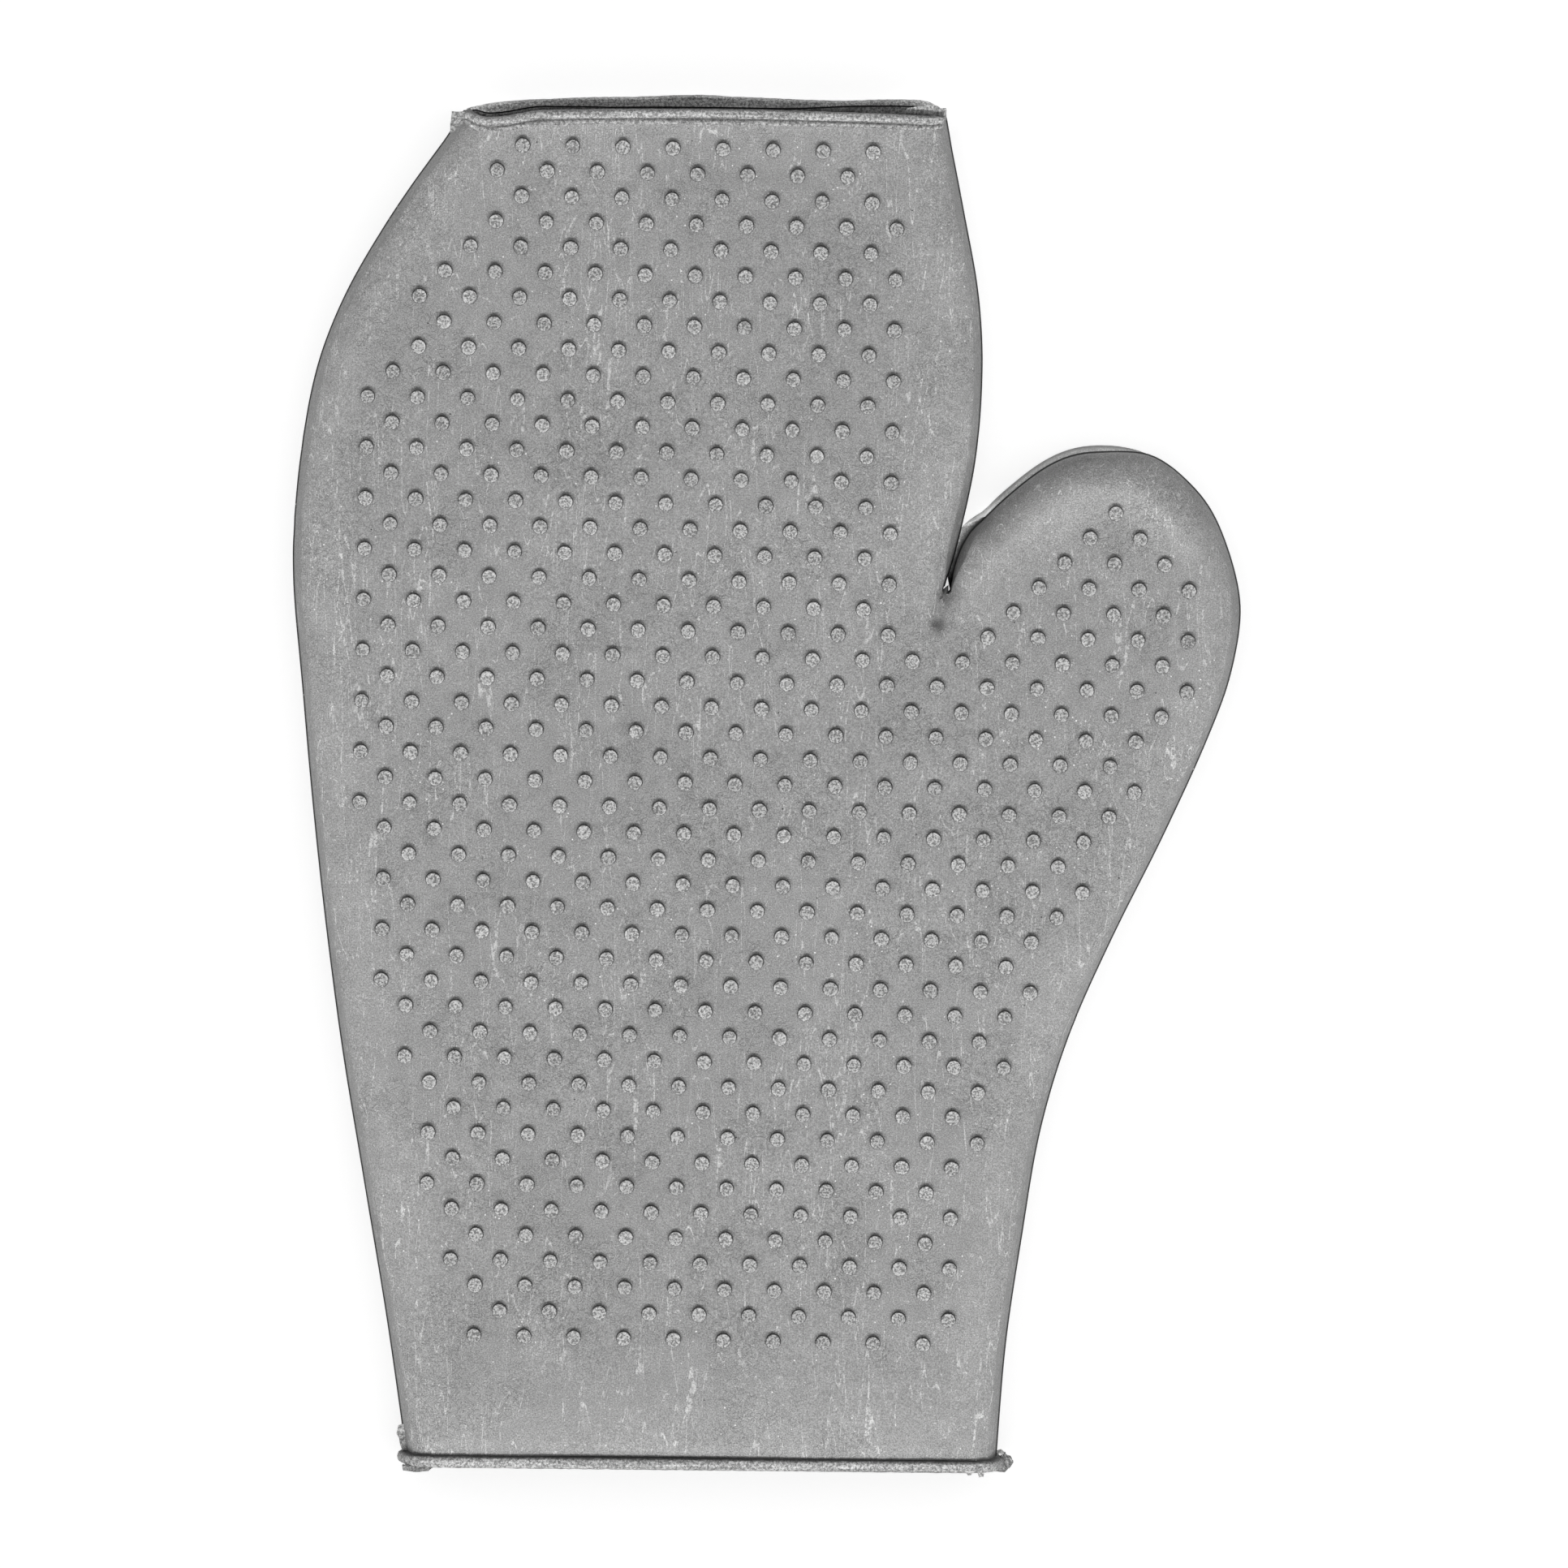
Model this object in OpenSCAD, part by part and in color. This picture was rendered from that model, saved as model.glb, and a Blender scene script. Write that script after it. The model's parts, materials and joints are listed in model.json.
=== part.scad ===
// Rubber grooming mitt: a flat hollow mitten with one thumb, open at the wrist and at the
// straight finger end, with round nubs moulded all over its palm side. It lies on its back,
// palm side up (+Z), fingers towards +Y and thumb towards +X. Sizes are in millimetres.

/* [Overall] */
// Width from the little-finger edge to the thumb edge
mitt_w = 164; // [140:1:190]
// Length from the wrist bead to the back finger lip
mitt_l = 240; // [210:1:280]
// Thickness of the hollow body, without nubs
body_t = 16; // [13:0.5:22]
// Thickness of the rubber
wall = 2; // [1.5:0.1:2.5]

/* [Nubs] */
// Diameter of one nub
nub_d = 2.3; // [1.5:0.1:3.5]
// Height of one nub
nub_h = 1.4; // [0.8:0.1:3]
// Distance between nubs along a row
nub_pitch = 8.65; // [7:0.05:12]
// Distance from one row to the next, which is staggered by half a pitch
row_pitch = 4.4; // [3.5:0.05:6]
// Number of the row nearest the fingers, counted from the middle row
first_row = -24; // [-24:1:-10]
// Number of the row nearest the wrist, counted from the middle row
last_row = 23; // [10:1:23]
// Slant of the rows against the width, in degrees
row_slant = -1.2; // [-3:0.1:3]

/* [Folds] */
// Place of the fold where the fingers bend
knuckle_y = 52; // [50:1:60]
// Length of the flexible sleeve at the knuckles
knuckle_fold_l = 14.4; // [12:0.2:16]
// Place of the fold where the cuff bends
wrist_y = -80; // [-90:1:-70]
// Length of the flexible sleeve at the wrist
wrist_fold_l = 7; // [6:0.2:10]
// Length of the flexible sleeve at the root of the thumb
thumb_fold_l = 11.6; // [11:0.2:13]
// Distance from the crotch of the thumb to the thumb's hinge line
thumb_set = 10.5; // [9:0.5:12]
// Slant of the thumb's hinge line against the length, in degrees
thumb_tilt = 13; // [10:1:16]

/* [Rims] */
// Width of the wrist bead along the mitt
bead_w = 2.1; // [1.5:0.1:3]
// Distance that the wrist bead stands out from the body
bead_out = 1.5; // [0.8:0.1:2.5]
// Corner radius of the wrist bead
bead_round = 5; // [3:0.5:6]
// Width of the front finger lip
lip_w = 1.6; // [1:0.1:3]
// Height of the front finger lip above the palm side
lip_h = 0.8; // [0.4:0.1:1.4]
// Thickness of the back finger lip
back_lip_t = 3; // [2.5:0.1:4]
// Thickness of the thin flash left by the mould
flash_t = 0.6; // [0.4:0.1:1]

/* [Hidden] */

rubber = [0.62, 0.62, 0.62];
nub_rubber = [0.66, 0.66, 0.66];
rim_rubber = [0.7, 0.7, 0.7];
reach = 200;
edge_steps = 4;
scale_x = mitt_w / 164;
scale_y = mitt_l / 240;
mid_z = body_t / 2;
wall_h = body_t - 2 * wall;
// Height of the flash that hangs from the edge of the front bead
bead_flash_z = body_t - wall / 2;

// The outline's own points, on a mitt of 164 by 240
function fit(points) = [for (p = points) [p.x * scale_x, p.y * scale_y]];
little_points = fit([
    [-62.7, -116.4], [-66, -93], [-70, -68.5], [-74, -43.5], [-77.6, -14], [-80.3, 15.5],
    [-82, 40.8], [-79.3, 66.2], [-74, 83.1], [-64.4, 100], [-52.3, 116.8]
]);
index_points = fit([[31, 116], [34.1, 100], [36.7, 85], [37.3, 70.5], [35.8, 54], [31.2, 34.2]]);
thumb_inner_points = fit([[31.2, 34.2], [35.3, 45], [43.5, 53.2], [51, 57.8], [58.5, 59], [66, 57.6]]);
thumb_outer_points = fit([
    [66, 57.6], [72.5, 53.3], [78.2, 45.8], [82, 32.4], [80.6, 19.7], [76.1, 7],
    [68.4, -9.9], [60, -26.8], [52.6, -43.6]
]);
heel_points = fit([[52.6, -43.6], [47.5, -60.5], [44.3, -79], [41.5, -98], [39.9, -117.5]]);
// A line up the notch between the fingers and the thumb
notch_points = fit([[31.2, 34.2], [34.6, 45], [37.3, 49.5], [40, 62]]);
// How the back finger lip bows out: [share of the way from its left corner to its right, height]
bow_profile = [[0, 0], [0.02, 1.1], [0.07, 2], [0.2, 2.9], [0.48, 3.6], [0.72, 3], [0.94, 3.2], [0.985, 2.1], [1, 0]];

// A smooth curve through points
function curve_at(a, b, c, d, t) = 0.5 * (2 * b + (c - a) * t + (2 * a - 5 * b + 4 * c - d) * t * t
    + (3 * b - a - 3 * c + d) * t * t * t);
function curve(p, steps = edge_steps) = let (last = len(p) - 1) concat(
    [for (i = [0:last - 1], k = [0:steps - 1])
        curve_at(p[max(i - 1, 0)], p[i], p[i + 1], p[min(i + 2, last)], k / steps)],
    [p[last]]);
function tail(p) = [for (i = [1:len(p) - 1]) p[i]];

little_edge = curve(little_points);
index_edge = curve(index_points);
thumb_edge = curve(concat(thumb_inner_points, tail(thumb_outer_points), tail(heel_points)));
side_edges = concat(little_edge, index_edge, tail(thumb_edge));
wrist_left = little_points[0];
wrist_right = heel_points[len(heel_points) - 1];
tip_left = little_points[len(little_points) - 1];
tip_right = index_points[0];
crotch = index_points[len(index_points) - 1];
wrist_line = wrist_right - wrist_left;
wrist_len = norm(wrist_line);
wrist_angle = atan2(wrist_line.y, wrist_line.x);

// The bow of the back lip, over the line from tip_left to tip_right
tip_line = tip_right - tip_left;
tip_len = norm(tip_line);
tip_up = [-tip_line.y, tip_line.x] / tip_len;
bow = [for (q = curve(bow_profile)) tip_left + q.x * tip_line + q.y * scale_y * tip_up];

// The thumb's hinge line runs down from thumb_hinge; thumb_out points across it, to the thumb
thumb_out = [cos(thumb_tilt), sin(thumb_tilt)];
thumb_hinge = crotch + thumb_set * thumb_out;

// Nubs: a staggered lattice, kept where it is far enough inside every edge
nub_origin = [-9.7, 4.9];
first_column = -9;
last_column = 12;
little_margin = 9.7;
index_margin = 11.1;
thumb_inner_margin = 10;
thumb_outer_margin = 7.1;
heel_margin = 9.2;
// Nubs, as [column, row], that stand a little outside those margins, and places left empty
extra_nubs = [[-7, 0], [-7, 2], [-7, 9], [3, -7], [9, -3], [5, -5]];
empty_places = [[-5, 22], [-5, -22], [6, -9]];

function nub_at(column, row) = let (x = (column + (row % 2 == 0 ? 0 : 0.5)) * nub_pitch, y = -row * row_pitch)
    nub_origin + [x * cos(row_slant) - y * sin(row_slant), x * sin(row_slant) + y * cos(row_slant)];
function to_segment(p, a, b) = let (d = b - a, t = max(0, min(1, (p - a) * d / (d * d)))) norm(p - a - d * t);
function to_edge(p, edge) = min([for (i = [1:len(edge) - 1]) to_segment(p, edge[i - 1], edge[i])]);
// Above zero where p is inside a closed outline
function crossings(p, loop) = len([for (i = [0:len(loop) - 1])
    let (a = loop[i], b = loop[(i + 1) % len(loop)])
    if ((a.y > p.y) != (b.y > p.y) && p.x < a.x + (b.x - a.x) * (p.y - a.y) / (b.y - a.y)) 1]);
function is_inside(p, loop) = crossings(p, loop) % 2 == 1;
function listed(place, places) = len([for (q = places) if (q == place) 1]) > 0;
function has_room(p) = to_edge(p, little_edge) > little_margin && to_edge(p, index_edge) > index_margin
    && to_edge(p, curve(thumb_inner_points)) > thumb_inner_margin
    && to_edge(p, curve(thumb_outer_points)) > thumb_outer_margin
    && to_edge(p, curve(heel_points)) > heel_margin;
nubs = [for (row = [first_row:last_row], column = [first_column:last_column])
    let (p = nub_at(column, row), place = [column, row])
    if (is_inside(p, side_edges) && !listed(place, empty_places) && (listed(place, extra_nubs) || has_room(p))) p];

// Which part of the mitt a nub belongs to. A fold keeps the nubs that touch it.
nub_r = nub_d / 2;
function thumb_side(p) = (p - thumb_hinge) * thumb_out;
function past_notch(p) = p.y > crotch.y && p.x < crotch.x + 6;
function on_thumb(p) = !past_notch(p) && thumb_side(p) > thumb_fold_l / 2 + nub_r;
function on_thumb_fold(p) = !past_notch(p) && abs(thumb_side(p)) <= thumb_fold_l / 2 + nub_r;
function on_knuckle_fold(p) = past_notch(p) && abs(p.y - knuckle_y) <= knuckle_fold_l / 2 + nub_r;
function on_fingers(p) = past_notch(p) && p.y > knuckle_y + knuckle_fold_l / 2 + nub_r;
function on_wrist_fold(p) = abs(p.y - wrist_y) <= wrist_fold_l / 2 + nub_r;
function on_cuff(p) = p.y < wrist_y - wrist_fold_l / 2 - nub_r;
function on_palm(p) = !(on_thumb(p) || on_thumb_fold(p) || on_knuckle_fold(p) || on_fingers(p)
    || on_wrist_fold(p) || on_cuff(p));

// ---- Outlines and zones ----

module front_outline() polygon(side_edges);
module back_outline() polygon(concat(little_edge, tail([for (i = [0:len(bow) - 2]) bow[i]]),
    index_edge, tail(thumb_edge)));
// The hollow runs out through both mouths, so its outline is drawn longer than the mitt
module hollow_outline() offset(r = -wall, $fn = 32) polygon(concat(
    [wrist_left + [4, -30]], little_edge, [tip_left + [20, 30], tip_right + [-6, 30]],
    index_edge, tail(thumb_edge), [wrist_right + [-2, -30]]));

module band(y0, y1) translate([-reach, y0]) square([2 * reach, y1 - y0]);
module thumb_strip(d0, d1) translate(thumb_hinge) rotate(thumb_tilt)
    translate([d0, -reach]) square([d1 - d0, 2 * reach]);
module finger_side() polygon(concat([[-reach, crotch.y]], notch_points,
    [[notch_points[len(notch_points) - 1].x, reach], [-reach, reach]]));

module cuff_zone() band(-reach, wrist_y - wrist_fold_l / 2);
module wrist_fold_zone() band(wrist_y - wrist_fold_l / 2, wrist_y + wrist_fold_l / 2);
module palm_zone() intersection() {
    band(wrist_y + wrist_fold_l / 2, knuckle_y - knuckle_fold_l / 2);
    union() {
        thumb_strip(-reach, -thumb_fold_l / 2);
        finger_side();
    }
}
module knuckle_fold_zone() intersection() {
    band(knuckle_y - knuckle_fold_l / 2, knuckle_y + knuckle_fold_l / 2);
    finger_side();
}
module finger_zone() intersection() {
    band(knuckle_y + knuckle_fold_l / 2, reach);
    finger_side();
}
module thumb_fold_zone() difference() {
    thumb_strip(-thumb_fold_l / 2, thumb_fold_l / 2);
    finger_side();
}
module thumb_zone() difference() {
    thumb_strip(thumb_fold_l / 2, reach);
    finger_side();
}
module little_side() translate([-reach, -reach]) square([reach, 2 * reach]);
module index_side() translate([0, -reach]) square([reach, 2 * reach]);

// ---- Building blocks ----

// The part of the palm-side sheet that lies in the child zone
module front_panel() color(rubber) translate([0, 0, body_t - wall]) linear_extrude(wall) intersection() {
    front_outline();
    children();
}
// The part of the back sheet that lies in the child zone
module back_panel() color(rubber) linear_extrude(wall) intersection() {
    front_outline();
    children();
}
// The part of the side wall that lies in every child zone
module side_wall() color(rubber) translate([0, 0, wall]) linear_extrude(wall_h) intersection() {
    difference() {
        front_outline();
        hollow_outline();
    }
    intersection_for (i = [0:$children - 1]) children(i);
}
// A whole slice of the hollow body, which bends
module fold_sleeve() color(rubber) difference() {
    linear_extrude(body_t) intersection() {
        front_outline();
        children();
    }
    translate([0, 0, wall]) linear_extrude(wall_h) hollow_outline();
}
module nub_group(places) color(nub_rubber) for (p = places)
    translate([p.x, p.y, body_t]) cylinder(h = nub_h, r = nub_r, $fn = 32);
module rounded_box(w, h, r) translate([r, r]) offset(r = r, $fn = 48) square([w - 2 * r, h - 2 * r]);
module flash(points, z = mid_z) color(rim_rubber) translate([0, 0, z - flash_t / 2])
    linear_extrude(flash_t) polygon(points);

// ---- Palm ----

module palm_front_panel() front_panel() palm_zone();
module palm_back_panel() back_panel() palm_zone();
module palm_outer_wall() side_wall() {
    palm_zone();
    little_side();
}
module heel_wall() side_wall() {
    palm_zone();
    index_side();
    band(-reach, 0);
}
module crotch_wall() side_wall() {
    palm_zone();
    index_side();
    band(0, reach);
}
module palm_nubs() nub_group([for (p = nubs) if (on_palm(p)) p]);

// ---- Folds ----

module knuckle_fold() fold_sleeve() knuckle_fold_zone();
module knuckle_fold_nubs() nub_group([for (p = nubs) if (on_knuckle_fold(p)) p]);
module thumb_fold() fold_sleeve() thumb_fold_zone();
module thumb_fold_nubs() nub_group([for (p = nubs) if (on_thumb_fold(p)) p]);
module wrist_fold() fold_sleeve() wrist_fold_zone();
module wrist_fold_nubs() nub_group([for (p = nubs) if (on_wrist_fold(p)) p]);

// ---- Fingers ----

module finger_front_panel() front_panel() finger_zone();
module finger_back_panel() back_panel() finger_zone();
module finger_outer_wall() side_wall() {
    finger_zone();
    little_side();
}
module finger_index_wall() side_wall() {
    finger_zone();
    index_side();
}
module finger_nubs() nub_group([for (p = nubs) if (on_fingers(p)) p]);
module finger_front_lip() color(rim_rubber) translate([0, 0, body_t]) linear_extrude(lip_h) intersection() {
    front_outline();
    polygon([tip_left, tip_right, tip_right - lip_w * tip_up, tip_left - lip_w * tip_up]);
}
module finger_back_lip() color(rim_rubber) linear_extrude(back_lip_t) polygon(bow);
module finger_flash() {
    flash([tip_left + [0.5, 0.2], tip_left + [-2.1, 0.2], tip_left + [-2.25, -1], tip_left + [-2.35, -2.4],
        tip_left + [-2.3, -3.4], tip_left + [-1.2, -2.2]]);
    flash([tip_right + [-1.8, -0.4], tip_right + [-1.8, 1.3], tip_right + [0, 1.5], tip_right + [0.1, -0.6]]);
}

// ---- Thumb ----

module thumb_front_panel() front_panel() thumb_zone();
module thumb_back_panel() back_panel() thumb_zone();
module thumb_wall() side_wall() thumb_zone();
module thumb_nubs() nub_group([for (p = nubs) if (on_thumb(p)) p]);

// ---- Cuff ----

module cuff_front_panel() front_panel() cuff_zone();
module cuff_back_panel() back_panel() cuff_zone();
module cuff_outer_wall() side_wall() {
    cuff_zone();
    little_side();
}
module cuff_thumb_wall() side_wall() {
    cuff_zone();
    index_side();
}
module cuff_nubs() nub_group([for (p = nubs) if (on_cuff(p)) p]);

// A rolled bead round the wrist mouth, cut at half height into two halves
module wrist_bead(z0, z1) color(rim_rubber) translate(wrist_left) rotate([0, 0, wrist_angle])
    rotate([90, 0, 0]) linear_extrude(bead_w) intersection() {
        difference() {
            translate([-bead_out, 0]) rounded_box(wrist_len + 2 * bead_out, body_t + bead_out, bead_round);
            translate([wall, wall]) rounded_box(wrist_len - 2 * wall, wall_h, 2);
        }
        translate([-reach, z0]) square([2 * reach, z1 - z0]);
    }
module wrist_bead_front() wrist_bead(mid_z, body_t + bead_out);
module wrist_bead_back() wrist_bead(0, mid_z);
module wrist_flash() {
    flash([wrist_left + [0.6, 0], wrist_left + [-1.1, 0], wrist_left + [-1.6, 5.2], wrist_left + [0, 6.2]]);
    flash([wrist_left + [3.4, -bead_w - 0.9], wrist_left + [4.6, -bead_w + 0.4],
        wrist_left + [1, -bead_w + 0.4], wrist_left + [1.2, -bead_w - 0.8]], bead_flash_z);
    flash([wrist_right + [1, -0.2], wrist_right + [2.3, 1], wrist_right + [2.9, -0.6], wrist_right + [1, -2]]);
    flash([wrist_right + [-7, -bead_w + 0.4], wrist_right + [-5.2, -mitt_l / 2 - wrist_right.y],
        wrist_right + [-4, -bead_w - 0.3], wrist_right + [-2.6, -bead_w + 0.4]], bead_flash_z);
}

palm_front_panel();
palm_back_panel();
palm_outer_wall();
heel_wall();
crotch_wall();
palm_nubs();
knuckle_fold();
knuckle_fold_nubs();
thumb_fold();
thumb_fold_nubs();
wrist_fold();
wrist_fold_nubs();
finger_front_panel();
finger_back_panel();
finger_outer_wall();
finger_index_wall();
finger_nubs();
finger_front_lip();
finger_back_lip();
finger_flash();
thumb_front_panel();
thumb_back_panel();
thumb_wall();
thumb_nubs();
cuff_front_panel();
cuff_back_panel();
cuff_outer_wall();
cuff_thumb_wall();
cuff_nubs();
wrist_bead_front();
wrist_bead_back();
wrist_flash();
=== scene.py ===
"""Looks of the rubber grooming mitt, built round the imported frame. Shapes are worked out in millimetres."""

import json
import math
import random

import bmesh
import bpy
import numpy as np
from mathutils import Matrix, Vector, noise
from mathutils.geometry import delaunay_2d_cdt


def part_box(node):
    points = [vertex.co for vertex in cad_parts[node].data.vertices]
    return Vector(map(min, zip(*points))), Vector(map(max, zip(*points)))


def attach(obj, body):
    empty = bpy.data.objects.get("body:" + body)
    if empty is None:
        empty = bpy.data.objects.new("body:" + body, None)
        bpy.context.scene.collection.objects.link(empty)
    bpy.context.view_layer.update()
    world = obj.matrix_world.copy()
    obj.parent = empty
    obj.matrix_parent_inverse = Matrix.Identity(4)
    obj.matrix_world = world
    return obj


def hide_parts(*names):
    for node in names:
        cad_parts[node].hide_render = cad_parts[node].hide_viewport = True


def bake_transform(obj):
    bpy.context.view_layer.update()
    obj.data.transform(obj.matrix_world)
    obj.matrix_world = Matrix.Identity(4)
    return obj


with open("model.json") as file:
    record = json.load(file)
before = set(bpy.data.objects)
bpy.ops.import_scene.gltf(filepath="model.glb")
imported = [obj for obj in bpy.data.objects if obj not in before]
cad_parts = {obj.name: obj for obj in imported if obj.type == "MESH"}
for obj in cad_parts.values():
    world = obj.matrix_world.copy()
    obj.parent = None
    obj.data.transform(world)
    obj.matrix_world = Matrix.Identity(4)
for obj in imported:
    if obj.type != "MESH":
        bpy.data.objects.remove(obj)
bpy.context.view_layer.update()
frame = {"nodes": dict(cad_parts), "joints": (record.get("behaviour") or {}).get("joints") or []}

MM = 0.001
SEED = 7

# ---- Sizes, read from the frame, in millimetres ----


def node_box(name):
    low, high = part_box(name)
    return np.array(low) / MM, np.array(high) / MM


TOP = node_box("palm_front_panel")[1][2]
WALL = node_box("palm_back_panel")[1][2]
MID = TOP / 2
NUB_TOP = node_box("palm_nubs")[1][2]
BEAD_TOP = node_box("wrist_bead_front")[1][2]
LIP_TOP = node_box("finger_front_lip")[1][2]
BACK_LIP_TOP = node_box("finger_back_lip")[1][2]
# Corners of the outline closer than this are one
MERGE = 0.02
# Points of the skin closer than this are one
WELD = 0.002
# Spacing of the outline's points where only distances from it are wanted
OUTLINE_STEP = 3.0

# Rounding of the palm side's edge, and the lean of the side wall below it
EDGE_R = 5.5
EDGE_ANGLE = math.radians(50)
# Rounding of the back's edge and of the notch's bottom, and how far the ridge at the parting line stands out
BACK_R, CROTCH_R = 4.2, 0.2
PARTING_RIDGE = 0.22
# Spacing of the points along the edge, on the palm side and on the back
SIDE_STEP, SHEET_STEP, BACK_STEP = 1.3, 1.7, 2.6


def hinge(name):
    joint = next(j for j in frame["joints"] if j["name"] == name)
    return np.array(joint["pos_m"]) / MM, np.array(joint["axis"])


THUMB_HINGE, THUMB_AXIS = hinge("thumb_bend")
THUMB_OUT = np.array([-THUMB_AXIS[1], THUMB_AXIS[0]])


def smoothstep(low, high, x):
    """0 up to low, 1 from high on, and smooth between."""
    t = np.clip((np.asarray(x, float) - low) / (high - low), 0, 1)
    return t * t * (3 - 2 * t)


def fade(low, high, x):
    """1 up to low, 0 from high on, and smooth between."""
    return 1 - smoothstep(low, high, x)


def hump(away, width):
    return np.exp(-(away / width) ** 2)


def distance(points, centre):
    return np.linalg.norm(points - centre, axis=1)


def unit(v):
    return v / np.linalg.norm(v)


def unit_rows(v):
    return v / np.linalg.norm(v, axis=1)[:, None]


def lengths(chain):
    """How far along a chain each of its points is."""
    return np.concatenate([[0], np.cumsum(np.linalg.norm(np.diff(chain, axis=0), axis=1))])


# ---- The outline, read from the upper faces of the CAD's palm side ----

PALM_SIDE = ["palm_front_panel", "finger_front_panel", "thumb_front_panel", "cuff_front_panel",
             "knuckle_fold", "thumb_fold", "wrist_fold"]
CORNER_TURN = math.radians(35)


def outline_loop():
    """The corners of the palm side's outline, in order, anticlockwise seen from above."""
    points, count = [], {}

    def index_of(co):
        p = np.array([co.x, co.y]) / MM
        for i, q in enumerate(points):
            if abs(p[0] - q[0]) < MERGE and abs(p[1] - q[1]) < MERGE:
                return i
        points.append(p)
        return len(points) - 1

    for name in PALM_SIDE:
        mesh = frame["nodes"][name].data
        mesh.calc_loop_triangles()
        for triangle in mesh.loop_triangles:
            corners = [mesh.vertices[i].co for i in triangle.vertices]
            if all(abs(c.z / MM - TOP) < MERGE for c in corners):
                ids = [index_of(c) for c in corners]
                for a, b in zip(ids, ids[1:] + ids[:1]):
                    key = frozenset((a, b))
                    count[key] = count.get(key, 0) + 1
    neighbours = {}
    for a, b in (key for key, times in count.items() if times == 1 and len(key) == 2):
        neighbours.setdefault(a, []).append(b)
        neighbours.setdefault(b, []).append(a)
    start = min(neighbours)
    loop, previous = [start], None
    while True:
        onward = [n for n in neighbours[loop[-1]] if n != previous]
        previous = loop[-1]
        if onward[0] == start and len(loop) > 2:
            break
        loop.append(onward[0])
        if len(loop) > len(neighbours):
            raise RuntimeError("the outline doesn't close")
    found = np.array([points[i] for i in loop])
    x, y = found.T
    area = np.sum(x * np.roll(y, -1) - np.roll(x, -1) * y)
    return found if area > 0 else found[::-1]


def split_at_corners(loop):
    """The outline's five smooth stretches, each from one corner to the next."""
    ahead = np.roll(loop, -1, 0) - loop
    heading = np.arctan2(ahead[:, 1], ahead[:, 0])
    turn = (heading - np.roll(heading, 1) + math.pi) % (2 * math.pi) - math.pi
    corners = [i for i in range(len(loop)) if abs(turn[i]) > CORNER_TURN]
    return [np.array([loop[i % len(loop)] for i in range(a, b + 1)])
            for a, b in zip(corners, corners[1:] + [corners[0] + len(loop)])]


def spline(points, spacing, parts=8):
    """Points at even distances along a smooth curve through points."""
    fine = []
    last = len(points) - 1
    for i in range(last):
        a, b, c, d = points[max(i - 1, 0)], points[i], points[i + 1], points[min(i + 2, last)]
        for t in np.arange(parts) / parts:
            fine.append(0.5 * (2 * b + (c - a) * t + (2 * a - 5 * b + 4 * c - d) * t ** 2
                               + (3 * b - a - 3 * c + d) * t ** 3))
    fine = np.array([*fine, points[-1]])
    along = lengths(fine)
    steps = np.linspace(0, along[-1], max(2, round(along[-1] / spacing)) + 1)
    return np.column_stack([np.interp(steps, along, fine[:, k]) for k in range(2)])


stretches = split_at_corners(outline_loop())
if len(stretches) != 5:
    raise RuntimeError(f"the outline has {len(stretches)} corners and not 5")
# The wrist line is the lowest stretch; the others follow it anticlockwise
first = min(range(5), key=lambda i: stretches[i][:, 1].max())
wrist_line, thumb_side, index_side, tip_line, little_side = (stretches[(first + k) % 5] for k in range(5))
WRIST_LEFT, WRIST_RIGHT = wrist_line[0], wrist_line[-1]
CROTCH = thumb_side[-1]
TIP_RIGHT, TIP_LEFT = tip_line[0], tip_line[-1]
WRIST_DIR = unit(WRIST_RIGHT - WRIST_LEFT)
TIP_DIR = unit(TIP_RIGHT - TIP_LEFT)
TIP_UP = np.array([-TIP_DIR[1], TIP_DIR[0]])
# How far from a mouth the edge starts to turn along it, and from the crotch its rounding reaches
MOUTH_REACH, CROTCH_REACH = 7, 4
FAN_STEPS = 18


def inward(chain, start_dir, end_dir):
    """Unit vectors into the mitt at each point of a chain. They turn along the mouths at its ends."""
    tangent = np.gradient(chain, axis=0)
    normal = unit_rows(np.column_stack([-tangent[:, 1], tangent[:, 0]]))
    along = lengths(chain)
    for direction, away in ((start_dir, along), (end_dir, along[-1] - along)):
        if direction is not None:
            share = fade(0, MOUTH_REACH, away)[:, None]
            normal = normal * (1 - share) + direction * share
    return unit_rows(normal)


def right_chain():
    """The right edge from the wrist up round the thumb, round the crotch, and up the index side."""
    thumb, index = spline(thumb_side, SIDE_STEP), spline(index_side, SIDE_STEP)
    for chain, way in ((thumb, 1), (index, -1)):
        chain[:, 0] += way * CROTCH_R * fade(0, CROTCH_REACH, distance(chain, CROTCH))
    thumb_in = inward(thumb, -WRIST_DIR, None)
    index_in = inward(index, None, -TIP_DIR)
    a0 = math.atan2(thumb_in[-1][1], thumb_in[-1][0])
    a1 = math.atan2(index_in[0][1], index_in[0][0])
    a1 -= 2 * math.pi * (a1 > a0)
    angles = np.linspace(a0, a1, FAN_STEPS)[1:-1]
    fan_in = np.column_stack([np.cos(angles), np.sin(angles)])
    fan = CROTCH + CROTCH_R * fan_in
    return np.vstack([thumb, fan, index]), np.vstack([thumb_in, fan_in, index_in])


def left_chain():
    chain = spline(little_side, SIDE_STEP)
    return chain, inward(chain, TIP_DIR, WRIST_DIR)


# ---- The section of the edge ----

# Half heights of the step at the parting line and of the ridge on it, and how hollow the wall over it is
PARTING_HALF, RIDGE_HALF, WALL_CURVE = 0.35, 0.1, 1.3
FRONT_POINTS, ROUND_POINTS = 14, 8
WALL_SHARES = (0.04, 0.1, 0.25, 0.5, 0.75, 1)
SIDE_SHARES = (0.0, 0.3, 0.65, 0.93)
BACK_POINTS = len(SIDE_SHARES) + ROUND_POINTS
FRONT_HALF, BACK_HALF = slice(0, -BACK_POINTS), slice(-BACK_POINTS, None)


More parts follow.
